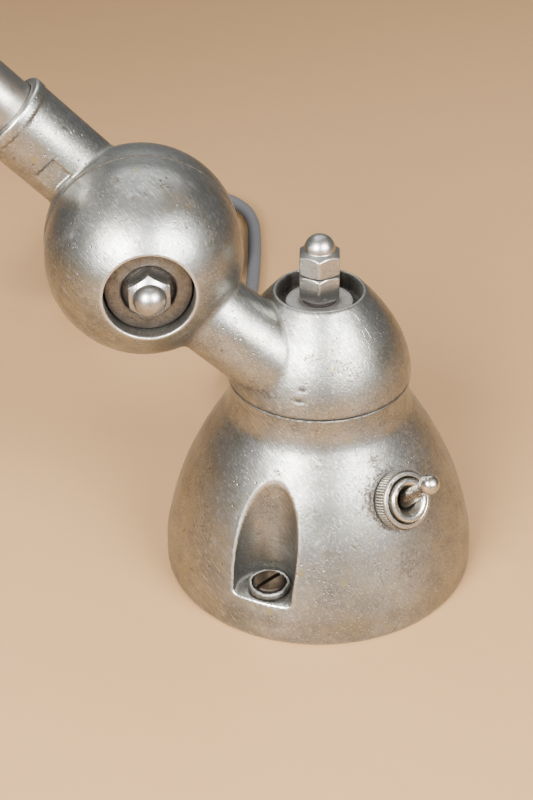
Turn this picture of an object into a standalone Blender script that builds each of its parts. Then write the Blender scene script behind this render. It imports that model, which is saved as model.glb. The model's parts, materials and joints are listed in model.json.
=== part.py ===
"""Architect desk lamp: a weighted bell base, a turning head and two tube arms on clamped ball joints.

The lamp's axis is Z, the table top is Z = 0 and at rest the lower joint leans out to -X. Every hinge
lies along Y. Lengths are written in millimetres and MM turns them into metres, and angles are degrees
measured in the XZ plane from +X towards +Z.
"""

import math

import bmesh
import bpy
from mathutils import Matrix, Vector

MM = 0.001
FINE = 36  # sides of the large turned parts
MEDIUM = 20  # sides of the ball joints and tubes
COARSE = 16  # sides of fasteners
GAP = 0.3  # left between pieces that touch
WELD = 0.00002  # metres; closes the slivers that a Boolean leaves

# Driving dimensions
BASE_RADIUS = 46.0
BELL_TOP = 63.3
HEAD_BOTTOM = 63.7
HEAD_RIM = 90.2
WALL = 4.0
BALL_RADIUS = 27.1
SEAM = 9.75  # the ball joints part in the plane y = SEAM
FRONT_DEPTH = 9.75  # from the seam forward to the front socket's axis
REAR_DEPTH = 13.65  # from the seam back to the rear socket's axis
FRONT_LIP = 4.65  # straight lip under each half ball
REAR_LIP = 3.1
FRONT_SOCKET = 11.3
REAR_SOCKET = 11.7
SOCKET_REACH = 49.4
RECESS_RADIUS = 12.1
RECESS_DEPTH = 6.6
TUBE_RADIUS = 9.0
TUBE_WALL = 1.0
TUBE_START = 26.0
ACROSS_FLATS = 11.0
BOLT_RADIUS = 3.4
BOLT_HOLE = 3.8
TWIST = 4.0  # turns a hollow about its own axis, so that its edges miss those of the solid round it

# Joints
STUB_ROOT = 54.7  # where the stub's axis crosses the lamp's axis
STUB_ANGLE = 180 - 44.7
STUB_LENGTH = 66.95
LOWER_ANGLE = 180 - 47.4
LOWER_LENGTH = 340.0
UPPER_ANGLE = 20.0
UPPER_LENGTH = 400.0
SHADE_ANGLE = -90.0

# Screw pockets, switch and cord
POCKET_AZIMUTH = -120.0
POCKET_CENTRE = 41.0
POCKET_RADIUS = 9.2
POCKET_FLOOR = 12.5
SCREW_CENTRE = 38.2
BALLAST_BORE = 10.0
SWITCH_AZIMUTH = -60.0
SWITCH_RADIUS = 35.8
SWITCH_HEIGHT = 38.5
SWITCH_TILT = 27.0
LEVER_TILT = 18.0
LEVER_PIVOT = 2.6
CORD_RADIUS = 2.6
CORD_AZIMUTH = 101.0
CORD_HEIGHT = 10.0
GLAND_LENGTH = 24.0
COIL_CENTRE = (-41.5, 182.0)
COIL_MEAN = 29.6
TAIL_RADIUS = 24.35
PLUG_RADIUS = 22.5
COIL_HALF_WIDTH = 7.8
COIL_HEIGHT = 15.4
PLUG_LENGTH = 36.0
PLUG_HEIGHT = 22.8

# Shade, below the last joint
SHADE_TOP = -66.0
SHADE_MOUTH = -186.0
SHADE_RADIUS = 84.0
SHADE_WALL = 1.0
BULB_RADIUS = 26.0
BULB_CENTRE = -146.0
GLASS_WALL = 1.0

# Outlines as (radius, height), from the top down
BELL = [(26.0, BELL_TOP), (25.8, 58.5), (26.8, 54.0), (29.0, 50.0), (31.5, 46.0), (35.0, 40.0), (39.0, 32.0),
        (43.2, 20.0), (45.6, 10.0), (BASE_RADIUS, 4.0), (BASE_RADIUS, 0.0)]
HEAD = [(11.0, HEAD_RIM - 0.3), (12.4, HEAD_RIM), (15.5, 87.0), (20.8, 80.0), (24.6, 72.0), (26.1, HEAD_BOTTOM)]
SHADE = [(10.0, SHADE_TOP), (21.0, SHADE_TOP), (24.5, -70.0), (25.5, -104.0), (29.0, -115.0), (50.0, -136.0),
         (64.0, -149.0), (75.0, -164.0), (SHADE_RADIUS, SHADE_MOUTH)]

FINISHES = {
    "cast_aluminium": ((0.58, 0.57, 0.54), 0.42, 1.0),
    "plated_steel": ((0.50, 0.46, 0.41), 0.30, 1.0),
    "steel": ((0.46, 0.44, 0.41), 0.38, 1.0),
    "cast_iron": ((0.10, 0.10, 0.11), 0.75, 0.6),
    "brass": ((0.55, 0.42, 0.22), 0.35, 1.0),
    "black_rubber": ((0.04, 0.04, 0.045), 0.70, 0.0),
    "bakelite": ((0.05, 0.035, 0.03), 0.35, 0.0),
    "felt": ((0.07, 0.09, 0.07), 0.95, 0.0),
    "fibre": ((0.16, 0.10, 0.07), 0.85, 0.0),
    "spun_aluminium": ((0.62, 0.62, 0.61), 0.38, 1.0),
    "opal_glass": ((0.90, 0.89, 0.85), 0.25, 0.0),
}


def clear_scene():
    """Removes whatever the scene holds."""
    for obj in list(bpy.data.objects):
        bpy.data.objects.remove(obj, do_unlink=True)


def new_collection(name):
    """A collection under the scene's own."""
    collection = bpy.data.collections.new(name)
    bpy.context.scene.collection.children.link(collection)
    return collection


clear_scene()
PARTS = new_collection("architect_desk_lamp")
CUTTERS = new_collection("cutters")


def direction(angle):
    """The unit vector at an angle in the XZ plane."""
    return Vector((math.cos(math.radians(angle)), 0.0, math.sin(math.radians(angle))))


def around(axis, degrees):
    """A turn about one axis."""
    return Matrix.Rotation(math.radians(degrees), 4, axis)


def shift(x, y, z):
    """A move, in millimetres."""
    return Matrix.Translation(Vector((x, y, z)) * MM)


def pointing(azimuth, elevation):
    """Turns local +Z to a direction given by its azimuth and elevation, with local +Y upwards."""
    return around("Z", azimuth + 90) @ around("X", 90 - elevation)


def along(angle):
    """Turns local +Z to an angle in the XZ plane and keeps local Y on the hinge's direction."""
    return around("Y", 90 - angle)


def inset(outline, distance):
    """The outline moved inwards by a distance, square to itself."""
    result = []
    for i, (r, h) in enumerate(outline):
        before = outline[max(0, i - 1)]
        after = outline[min(len(outline) - 1, i + 1)]
        run = Vector((after[0] - before[0], after[1] - before[1])).normalized()
        result.append((r + distance * run.y, h - distance * run.x))
    return result


def arc(centre_height, radius, start_radius, end_radius, count):
    """Points down a sphere's outline, between two distances from its axis."""
    start = math.asin(start_radius / radius)
    end = math.asin(end_radius / radius)
    angles = [start + (end - start) * i / count for i in range(count + 1)]
    return [(radius * math.sin(a), centre_height + radius * math.cos(a)) for a in angles]


def empty(name, parent, place):
    """An empty that marks a joint."""
    obj = bpy.data.objects.new(name, None)
    obj.empty_display_size = 0.02
    obj.parent = parent
    obj.matrix_basis = place
    PARTS.objects.link(obj)
    return obj


def add(name, mesh, parent, place, finish):
    """Puts a mesh in the scene: a part when it has a finish, otherwise a cutter."""
    obj = bpy.data.objects.new(name, mesh)
    obj.parent = parent
    obj.matrix_basis = place
    if finish is None:
        CUTTERS.objects.link(obj)
        obj.hide_render = True
        obj.display_type = "WIRE"
        return obj
    PARTS.objects.link(obj)
    paint(obj, finish)
    return obj


def paint(obj, finish):
    """Gives a part its own Principled material."""
    colour, roughness, metallic = FINISHES[finish]
    material = bpy.data.materials.new(obj.name)
    material.use_nodes = True
    shader = material.node_tree.nodes["Principled BSDF"]
    shader.inputs["Base Color"].default_value = (*colour, 1.0)
    shader.inputs["Roughness"].default_value = roughness
    shader.inputs["Metallic"].default_value = metallic
    obj.data.materials.append(material)


def turned(name, outline, parent=None, place=Matrix(), finish=None, steps=COARSE):
    """A turned piece: an outline of (radius, height) points, run down its outer side, about local Z."""
    mesh = bpy.data.meshes.new(name)
    points = [(r * MM, 0.0, h * MM) for r, h in outline]
    edges = [(i, i + 1) for i in range(len(points) - 1)]
    if outline[0][0] > 0:
        edges.append((len(points) - 1, 0))
    mesh.from_pydata(points, edges, [])
    obj = add(name, mesh, parent, place, finish)
    screw = obj.modifiers.new("turn", "SCREW")
    screw.steps = steps
    screw.render_steps = steps
    screw.use_merge_vertices = True
    screw.merge_threshold = 0.00001
    return obj


def cylinder(name, radius, low, high, parent=None, place=Matrix(), finish=None, steps=COARSE):
    """A plain cylinder between two heights on local Z."""
    outline = [(0, high), (radius, high), (radius, low), (0, low)]
    return turned(name, outline, parent, place, finish, steps)


def ring(name, outer, inner, low, high, parent=None, place=Matrix(), finish=None, steps=COARSE):
    """A flat ring between two heights on local Z."""
    outline = [(outer, high), (outer, low), (inner, low), (inner, high)]
    return turned(name, outline, parent, place, finish, steps)


def block(name, size, parent=None, place=Matrix(), finish=None):
    """A box centred on its own origin."""
    mesh = bpy.data.meshes.new(name)
    shape = bmesh.new()
    bmesh.ops.create_cube(shape, size=1.0, matrix=Matrix.Diagonal((*(Vector(size) * MM), 1.0)))
    shape.to_mesh(mesh)
    shape.free()
    return add(name, mesh, parent, place, finish)


def hexagon(name, across, low, high, parent=None, place=Matrix(), finish=None):
    """A hexagonal prism on local Z with two corners on local Y."""
    mesh = bpy.data.meshes.new(name)
    shape = bmesh.new()
    radius = across / math.sqrt(3) * MM
    middle = Matrix.Translation((0, 0, (low + high) / 2 * MM))
    bmesh.ops.create_cone(shape, cap_ends=True, segments=6, radius1=radius, radius2=radius,
                          depth=(high - low) * MM, matrix=middle)
    shape.to_mesh(mesh)
    shape.free()
    return add(name, mesh, parent, place, finish)


def combine(target, others, operation):
    """Adds one exact Boolean for each of the other shapes."""
    for other in others:
        step = target.modifiers.new(other.name, "BOOLEAN")
        step.operation = operation
        step.object = other
        step.solver = "EXACT"
        weld = target.modifiers.new("weld", "WELD")
        weld.merge_threshold = WELD
    return target


def cut(target, *others):
    """Takes shapes away from a piece."""
    return combine(target, others, "DIFFERENCE")


def join(target, *others):
    """Adds shapes to a piece."""
    return combine(target, others, "UNION")


def smooth_curve(points, step):
    """Evenly spaced points on a Catmull-Rom curve through the route's own points."""
    route = [Vector(p) for p in points]
    route = [2 * route[0] - route[1]] + route + [2 * route[-1] - route[-2]]
    dense = []
    for a, b, c, d in zip(route, route[1:], route[2:], route[3:]):
        for i in range(24):
            t = i / 24
            dense.append(0.5 * (2 * b + (c - a) * t + (2 * a - 5 * b + 4 * c - d) * t * t
                                + (3 * b - a - 3 * c + d) * t ** 3))
    dense.append(route[-2])
    lengths = [0.0]
    for a, b in zip(dense, dense[1:]):
        lengths.append(lengths[-1] + (b - a).length)
    count = max(2, round(lengths[-1] / step))
    result = []
    j = 0
    for i in range(count + 1):
        at = lengths[-1] * i / count
        while j < len(dense) - 2 and lengths[j + 1] < at:
            j += 1
        share = (at - lengths[j]) / (lengths[j + 1] - lengths[j])
        result.append(dense[j].lerp(dense[j + 1], min(1.0, share)))
    return result


def tube_along(name, points, radius, parent, finish, resolution=2):
    """A round tube with filled caps along a list of points."""
    curve = bpy.data.curves.new(name, "CURVE")
    curve.dimensions = "3D"
    curve.bevel_depth = radius * MM
    curve.bevel_resolution = resolution
    curve.use_fill_caps = True
    spline = curve.splines.new("POLY")
    spline.points.add(len(points) - 1)
    for point, place in zip(spline.points, points):
        point.co = (*(Vector(place) * MM), 1.0)
    return add(name, curve, parent, Matrix(), finish)


# Fasteners


def washer(name, outer, thick, parent, place, finish="steel"):
    """A flat washer on the bolts, its back face at local Z = 0."""
    return ring(name, outer, BOLT_HOLE, 0.0, thick, parent, place, finish)


def dished_washer(name, parent, place):
    """A thick washer with a counterbore for the nut, its back face at local Z = 0."""
    outline = [(7.4, 2.2), (11.6, 2.0), (11.6, 0.0), (BOLT_HOLE, 0.0), (BOLT_HOLE, 1.0), (7.4, 1.0)]
    return turned(name, outline, parent, place, "steel", COARSE)


def cap_nut(name, height, dome_radius, dome_height, bore_depth, parent, place, finish="plated_steel"):
    """An acorn nut: a hexagon, a shoulder and a dome, with a blind bore from below."""
    nut = hexagon(name, ACROSS_FLATS, 0.0, height, parent, place, finish)
    shoulder = height + 0.7
    outline = [(0, shoulder + dome_height)]
    outline += [(dome_radius * math.sin(math.radians(a)), shoulder + dome_height * math.cos(math.radians(a)))
                for a in (30, 60, 90)]
    outline += [(ACROSS_FLATS / 2 - 0.2, height), (ACROSS_FLATS / 2 - 0.2, height - 1), (0, height - 1)]
    dome = turned(name + "_dome", outline, parent, place)
    bore = cylinder(name + "_bore", BOLT_RADIUS + GAP, -1.0, bore_depth, parent, place)
    return cut(join(nut, dome), bore)


def hex_bolt(name, head, length, parent, place, finish="steel"):
    """A hexagon bolt whose shank runs up local Z from the head's inner face at Z = 0."""
    bolt = hexagon(name, ACROSS_FLATS, -head, 0.0, parent, place, finish)
    shank = cylinder(name + "_shank", BOLT_RADIUS, -1.0, length, parent, place)
    return join(bolt, shank)


# Ball joints


def ball_sizes(side):
    """Lip height, socket depth and socket radius of a front (-1) or rear (+1) half."""
    if side < 0:
        return FRONT_LIP, FRONT_DEPTH, FRONT_SOCKET
    return REAR_LIP, REAR_DEPTH, REAR_SOCKET


def ball_frame(side, twist=0.0):
    """A half ball's own frame: local Z is the way its bolt points, with the seam at Z = 0."""
    return shift(0, SEAM, 0) @ around("X", -90 * side) @ around("Z", twist)


def ball_rim(side):
    """Height of the recess's rim above the seam."""
    lip = ball_sizes(side)[0]
    return lip + math.sqrt(BALL_RADIUS ** 2 - RECESS_RADIUS ** 2)


def ball_solid(name, side, parent, finish=None):
    """The half ball without its hollows, with a straight lip that runs on past the seam."""
    lip = ball_sizes(side)[0]
    outline = arc(lip, BALL_RADIUS, 0.0, BALL_RADIUS, 6)
    outline += [(BALL_RADIUS, -2.0), (0, -2.0)]
    return turned(name, outline, parent, ball_frame(side), finish, MEDIUM)


def ball_core(name, side, parent):
    """The hollow of a half ball, with a boss left round the bolt hole."""
    lip = ball_sizes(side)[0]
    floor = ball_rim(side) - RECESS_DEPTH
    top = floor - WALL
    inner = BALL_RADIUS - WALL - 0.5
    corner = math.sqrt(inner ** 2 - (top - lip) ** 2)
    outline = [(0, floor + 1), (BOLT_HOLE, floor + 1), (BOLT_HOLE, 0.9), (8.0, 0.9), (8.0, top)]
    outline += arc(lip, inner, corner, inner, 2)
    outline += [(inner, -3.0), (0, -3.0)]
    return turned(name, outline, parent, ball_frame(side, TWIST), None, MEDIUM)


def ball_recess(name, side, parent):
    """The round recess that holds the nut or the bolt's head."""
    rim = ball_rim(side)
    outline = [(0, 40), (RECESS_RADIUS, 40), (RECESS_RADIUS, rim - RECESS_DEPTH), (0, rim - RECESS_DEPTH)]
    return turned(name, outline, parent, ball_frame(side, TWIST), None, MEDIUM)


def seam_clip(name, side, parent):
    """Everything on the far side of the seam, out to the other half's radius."""
    size = 2 * (BALL_RADIUS + GAP)
    return cylinder(name, size / 2, -20.0, GAP / 2, parent, ball_frame(side, TWIST), steps=MEDIUM)


def socket_place(side, angle):
    """A socket's frame: local Z runs out along its axis from the hinge."""
    depth = ball_sizes(side)[1]
    return shift(0, SEAM + side * depth, 0) @ along(angle)


def half_ball(name, side, angle, parent):
    """One half of a ball joint with the socket that holds its tube."""
    radius = ball_sizes(side)[2]
    place = socket_place(side, angle)
    outline = [(0, SOCKET_REACH), (radius - 0.8, SOCKET_REACH), (radius, SOCKET_REACH - 0.8), (radius, 0), (0, 0)]
    half = ball_solid(name, side, parent, "cast_aluminium")
    join(half, turned(name + "_socket", outline, parent, place, steps=MEDIUM))
    cut(half,
        ball_core(name + "_core", side, parent),
        ball_recess(name + "_recess", side, parent),
        seam_clip(name + "_seam", side, parent),
        cylinder(name + "_bore", TUBE_RADIUS + GAP, TUBE_START - GAP, SOCKET_REACH + 1, parent, place, steps=MEDIUM),
        cylinder(name + "_wireway", 5.0, 15.0, TUBE_START, parent, place))
    return half


def joint_fasteners(prefix, parent):
    """The bolt, nut, washers and friction disc that clamp a ball joint; the nut is at the front."""
    front = ball_frame(-1)
    rear = ball_frame(1)
    front_floor = ball_rim(-1) - RECESS_DEPTH
    rear_floor = ball_rim(1) - RECESS_DEPTH
    dished_washer(prefix + "_front_washer", parent, front @ shift(0, 0, front_floor + GAP))
    dished_washer(prefix + "_rear_washer", parent, rear @ shift(0, 0, rear_floor + GAP))
    seat = 1.0 + 2 * GAP
    nut_place = front @ shift(0, 0, front_floor + seat)
    cap_nut(prefix + "_cap_nut", 5.0, 4.4, 4.2, 6.0, parent, nut_place)
    shank = rear_floor + seat + front_floor + seat + 5.0
    head_place = rear @ shift(0, 0, rear_floor + seat) @ around("X", 180)
    hex_bolt(prefix + "_bolt", 4.0, shank, parent, head_place)
    ring(prefix + "_friction_disc", 7.8, BOLT_HOLE, -0.6, 0.6, parent, front, "fibre")


def arm(name, side, angle, length, parent):
    """A tube from one joint's socket to the next, and the lead inside it."""
    place = socket_place(side, angle)
    ring(name + "_tube", TUBE_RADIUS, TUBE_RADIUS - TUBE_WALL, TUBE_START, length - TUBE_START, parent, place,
         "plated_steel", MEDIUM)
    cylinder(name + "_lead", 3.0, 20.0, length - 20.0, parent, place, "black_rubber", 12)


# Sub-assemblies


def build_base(root):
    """The bell, its ballast, plate, felt and the screws that hold them together."""
    pocket = around("Z", POCKET_AZIMUTH)
    opposite = around("Z", POCKET_AZIMUTH + 180)
    gland = around("Z", CORD_AZIMUTH) @ shift(0, 0, CORD_HEIGHT) @ around("Y", 90)
    switch = switch_place()

    bell = turned("base_bell", [(0, BELL_TOP)] + BELL + [(0, 0)], root, Matrix(), "cast_aluminium", FINE)
    roof = BELL_TOP - WALL - 1
    inside = [(0, roof), (BELL[0][0] - WALL, roof)]
    inside += [(r - WALL, h) for r, h in BELL[2:-2:2] + BELL[-3:-2]]
    inside += [(42.0, 3.9), (43.0, 3.9), (43.0, -1.0), (0, -1.0)]
    hollow = turned("bell_hollow", inside, root, steps=FINE)
    for side, place in (("front", pocket), ("rear", opposite)):
        cut(hollow, cylinder("pocket_boss_" + side, POCKET_RADIUS + 3.0, 3.9, 48.0, root,
                             place @ shift(POCKET_CENTRE, 0, 0), steps=MEDIUM))
    cut(bell, hollow)
    for side, place in (("front", pocket), ("rear", opposite)):
        centre = place @ shift(POCKET_CENTRE, 0, 0)
        cut(bell, cylinder("pocket_" + side, POCKET_RADIUS, POCKET_FLOOR, 60.0, root, centre, steps=MEDIUM))
        cut(bell, cylinder("screw_hole_" + side, 2.6, -1.0, 20.0, root, place @ shift(SCREW_CENTRE, 0, 0)))
    cut(bell,
        cylinder("pivot_hole", BOLT_HOLE, 50.0, 70.0, root),
        cylinder("gland_hole", 5.0, 36.0, 50.0, root, gland),
        cylinder("switch_seat", 8.9, -0.5, 6.0, root, switch, steps=MEDIUM),
        cylinder("switch_hole", 6.5, -10.0, 2.0, root, switch))

    edge = [(r - WALL - 0.6, h) for r, h in BELL if 4.5 < h < 33.0]
    outline = [(BALLAST_BORE, edge[0][1])] + edge + [(40.6, 4.3), (BALLAST_BORE, 4.3)]
    ballast = turned("base_ballast", outline, root, Matrix(), "cast_iron", FINE)
    for side, place in (("front", pocket), ("rear", opposite)):
        centre = place @ shift(POCKET_CENTRE, 0, 0)
        cut(ballast, cylinder("boss_space_" + side, POCKET_RADIUS + 3.6, 0.0, 48.0, root, centre, steps=MEDIUM))
    cut(ballast,
        block("switch_space", (18.0, 27.0, 40.0), root, switch @ shift(0, 0, -12.0)),
        block("gland_space", (40.0, 16.0, 14.0), root, around("Z", CORD_AZIMUTH) @ shift(32.0, 0, CORD_HEIGHT)))

    plate = cylinder("base_plate", 42.5, 1.5, 3.6, root, Matrix(), "steel", FINE)
    for side, place in (("front", pocket), ("rear", opposite)):
        spot = place @ shift(SCREW_CENTRE, 0, 0)
        cut(plate, cylinder("plate_hole_" + side, 2.6, 0.0, 5.0, root, spot))
        screw = turned("base_screw_" + side, [(0, 15.6), (3.9, 15.6), (4.6, 14.9), (4.6, POCKET_FLOOR + GAP),
                                              (2.3, POCKET_FLOOR + GAP), (2.3, 1.7), (0, 1.7)],
                       root, spot, "steel", COARSE)
        cut(screw, block("slot_" + side, (1.2, 12.0, 2.4), root, spot @ shift(0, 0, 15.6) @ around("Z", 35)))
        ring("base_screw_cup_" + side, 6.0, 4.9, POCKET_FLOOR + GAP, 14.6, root, spot, "cast_aluminium", 24)
    cylinder("felt_pad", 42.5, 0.0, 1.2, root, Matrix(), "felt", FINE)


def switch_place():
    """The switch's frame: origin on the bell's surface, local Z out of it and local Y uphill."""
    spot = around("Z", SWITCH_AZIMUTH) @ shift(SWITCH_RADIUS, 0, SWITCH_HEIGHT)
    return Matrix.Translation(spot.translation) @ pointing(SWITCH_AZIMUTH, SWITCH_TILT)


def build_switch(root):
    """The toggle switch in the bell's side."""
    place = switch_place()
    body = block("switch_body", (13.0, 22.0, 16.0), root, place @ shift(0, 0, -16.0), "bakelite")
    join(body, turned("switch_bushing", [(0, 5.6), (5.8, 5.6), (6.2, 5.2), (6.2, -9.0), (0, -9.0)], root, place))
    throat = [(0, 7.0), (4.4, 7.0), (3.0, 3.4), (2.95, -3.5), (0, -3.5)]
    cut(body, turned("switch_throat", throat, root, place @ around("Z", TWIST)))
    ring_nut = [(6.9, 4.6), (7.7, 4.3), (8.5, 3.4), (8.5, -0.2), (6.5, -0.2), (6.5, 3.9)]
    turned("switch_ring_nut", ring_nut, root, place, "plated_steel", 32)
    hexagon_nut = hexagon("switch_back_nut", 14.0, -7.4, -5.4, root, place, "steel")
    cut(hexagon_nut, cylinder("switch_back_bore", 6.5, -9.0, -4.0, root, place))
    pivot = empty("switch_pivot", root, place @ shift(0, 0, LEVER_PIVOT) @ around("X", -LEVER_TILT))
    lever = [(0, 20.8), (1.6, 20.3), (2.5, 19.2), (2.8, 18.0), (2.4, 16.5), (1.9, 15.2), (1.6, 13.6), (1.9, 4.0),
             (2.0, 2.0), (2.4, 0.0), (2.0, -1.5), (0, -2.4)]
    turned("switch_lever", lever, pivot, Matrix(), "plated_steel", 16)


def build_pivot(root):
    """The bolt that holds the turning head down, with its washers, lock nut and cap nut."""
    turn = around("Z", -8.8)
    roof = BELL_TOP - WALL - 1
    hex_bolt("pivot_bolt", 5.0, 41.0, root, shift(0, 0, roof - 1.5 - 2 * GAP))
    washer("pivot_inner_washer", 9.0, 1.5, root, shift(0, 0, roof - 1.5 - GAP))
    washer("pivot_friction_disc", 12.0, 1.4, root, shift(0, 0, BELL_TOP + GAP), "fibre")
    washer("pivot_washer", 9.4, 1.5, root, shift(0, 0, 85.0))
    washer("pivot_collar", 4.9, 1.2, root, shift(0, 0, 86.8))
    lock_nut = hexagon("pivot_lock_nut", ACROSS_FLATS, 88.3, 95.6, root, turn, "plated_steel")
    cut(lock_nut, cylinder("pivot_lock_bore", BOLT_RADIUS + GAP, 88.0, 96.0, root))
    cap_nut("pivot_cap_nut", 5.9, 4.3, 4.2, 4.6, root, shift(0, 0, 95.95) @ turn)


def build_head(turret, lower):
    """The turning head: a domed shell, a leaning stub and the front half of the lower ball in one casting."""
    up = shift(0, 0, -HEAD_BOTTOM)
    stub = up @ shift(0, 0, STUB_ROOT) @ along(STUB_ANGLE)
    outline = [(0, HEAD_RIM - 0.3)] + HEAD + [(HEAD[-1][0], HEAD_BOTTOM - 2), (0, HEAD_BOTTOM - 2)]
    hollow = [(12.0, 79.0), (17.0, 77.0), (20.0, 72.0), (21.5, 67.0), (21.5, 58.0), (9.0, 58.0)]
    head = turned("swivel_casting", outline, turret, up, "cast_aluminium", FINE)
    join(head,
         cylinder("stub_rod", FRONT_SOCKET, 0.0, STUB_LENGTH, turret, stub, steps=MEDIUM),
         ball_solid("swivel_ball", -1, lower))
    cut(head,
        cylinder("below_head", 60.0, 30.0, HEAD_BOTTOM, turret, up, steps=MEDIUM),
        cylinder("head_recess", 12.0, 84.6, 99.0, turret, up, steps=FINE),
        turned("head_hollow", hollow, turret, up, steps=MEDIUM),
        cylinder("head_disc_space", 12.6, 59.0, 65.4, turret, up, steps=MEDIUM),
        cylinder("head_hole", BOLT_HOLE, 57.0, 98.0, turret, up),
        ball_core("swivel_core", -1, lower),
        ball_recess("swivel_recess", -1, lower),
        seam_clip("swivel_seam", -1, lower),
        cylinder("stub_wireway", 6.0, 22.0, 56.0, turret, stub))


def build_shade(head):
    """The neck, lampholder, bulb and spun shade below the last joint."""
    axis = shift(0, SEAM + REAR_DEPTH, 0)
    ring("shade_neck_tube", TUBE_RADIUS, TUBE_RADIUS - TUBE_WALL, -80.0, -TUBE_START, head, axis, "plated_steel",
         MEDIUM)
    collar_foot = SHADE_TOP + GAP
    collar = [(9.6, -54.0), (14.0, -54.0), (15.5, -55.5), (15.5, collar_foot), (9.6, collar_foot)]
    turned("shade_collar", collar, head, axis, "plated_steel", MEDIUM)
    wall = inset(SHADE, SHADE_WALL)
    wall[0] = (SHADE[0][0], SHADE_TOP - SHADE_WALL)
    turned("shade", SHADE + wall[::-1], head, axis, "spun_aluminium", FINE)
    holder = [(9.5, -70.0), (17.0, -70.0), (18.5, -72.0), (18.5, -122.0), (14.2, -122.0), (14.2, -96.0), (4.0, -96.0),
              (4.0, -84.0), (9.5, -84.0)]
    turned("lampholder", holder, head, axis, "bakelite", MEDIUM)
    cap = [(0, -97.0), (10.0, -97.0), (13.2, -100.0), (13.2, -120.0), (12.0, -120.0), (12.0, -102.0), (0, -102.0)]
    turned("bulb_cap", cap, head, axis, "brass", COARSE)
    angles = [math.radians(a) for a in (-40, -15, 10, 35, 60)]
    glass = [(11.0, -104.0), (11.5, -121.0), (13.6, -126.0)]
    glass += [(BULB_RADIUS * math.cos(a), BULB_CENTRE - BULB_RADIUS * math.sin(a)) for a in angles]
    inner = inset(glass, GLASS_WALL)
    tip = BULB_CENTRE - BULB_RADIUS
    turned("bulb_glass", [(0, tip + GLASS_WALL)] + inner[::-1] + glass + [(0, tip)], head, axis, "opal_glass", MEDIUM)


def build_cord(root):
    """The mains lead: gland, free lead, its coil, the tail and the plug."""
    out = around("Z", CORD_AZIMUTH) @ shift(0, 0, CORD_HEIGHT)
    radial = out @ around("Y", 90)
    tip = 45.6 + GLAND_LENGTH
    gland = [(0, tip), (3.4, tip), (5.6, 47.0), (5.6, 46.3), (4.7, 46.3), (4.7, 38.6), (6.0, 38.6), (6.0, 36.4),
             (0, 36.4)]
    turned("cord_gland", gland, root, radial, "black_rubber", COARSE)
    start = out @ Vector(((tip + GAP) * MM, 0, 0)) / MM
    route = [start, (-14.9, 77.0, 9.2), (-15.6, 87.0, 5.9), (-14.8, 98.5, 3.2), (-12.4, 111.0, 2.7),
             (-8.4, 128.0, 2.7), (-4.6, 145.0, 2.7), (-1.6, 160.0, 2.7), (1.4, 179.0, 2.7), (3.6, 197.0, 2.7),
             (4.6, 211.0, 2.7), (2.6, 224.0, 2.7), (-4.2, 235.0, 2.7), (-15.5, 242.0, 2.7), (-28.5, 243.5, 2.7),
             (-41.5, 240.0, 2.7), (-53.0, 232.5, 2.7), (-60.5, 224.0, 2.7)]
    tube_along("mains_cord", smooth_curve(route, 7.0), CORD_RADIUS, root, "black_rubber")
    coil = shift(*COIL_CENTRE, 0)
    outer = COIL_MEAN + COIL_HALF_WIDTH
    inner = COIL_MEAN - COIL_HALF_WIDTH
    section = [(outer - 1.5, COIL_HEIGHT), (outer, COIL_HEIGHT - 1.5), (outer, 1.6), (outer - 1.5, 0.1),
               (inner + 1.5, 0.1), (inner, 1.6), (inner, COIL_HEIGHT - 1.5), (inner + 1.5, COIL_HEIGHT)]
    turned("cord_coil", section, root, coil, "black_rubber", MEDIUM)
    tail = []
    for degrees in range(0, 181, 20):
        lift = max(0.0, (degrees - 100) / 80)
        height = 18.4 + (PLUG_HEIGHT - 18.4) * lift * lift * (3 - 2 * lift)
        angle = math.radians(degrees)
        radius = TAIL_RADIUS + (PLUG_RADIUS - TAIL_RADIUS) * lift * lift * (3 - 2 * lift)
        tail.append((COIL_CENTRE[0] + radius * math.cos(angle), COIL_CENTRE[1] + radius * math.sin(angle), height))
    tube_along("cord_tail", smooth_curve(tail, 7.0), CORD_RADIUS, root, "black_rubber")
    plug = shift(COIL_CENTRE[0] - PLUG_RADIUS, COIL_CENTRE[1] - 3 * GAP, PLUG_HEIGHT) @ around("X", 90)
    body = block("plug_body", (26.0, 13.6, 24.0), root, plug @ shift(0, 0, PLUG_LENGTH - 12.0), "black_rubber")
    bevel = body.modifiers.new("edges", "BEVEL")
    bevel.width = 3.0 * MM
    bevel.segments = 2
    nose = [(0, PLUG_LENGTH - 20.0), (6.5, PLUG_LENGTH - 20.0), (5.6, PLUG_LENGTH - 25.0), (3.3, 0.0), (0, 0.0)]
    join(body, turned("plug_nose", nose, root, plug))
    for side, x in (("left", -9.5), ("right", 9.5)):
        pin_place = plug @ shift(x, 0, PLUG_LENGTH)
        cut(body, cylinder("pin_hole_" + side, 2.4, -8.0, 1.0, root, pin_place))
        turned("plug_pin_" + side, [(0, 19.0), (1.4, 19.0), (2.0, 18.0), (2.0, -7.5), (0, -7.5)], root, pin_place,
               "brass", 16)


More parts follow.
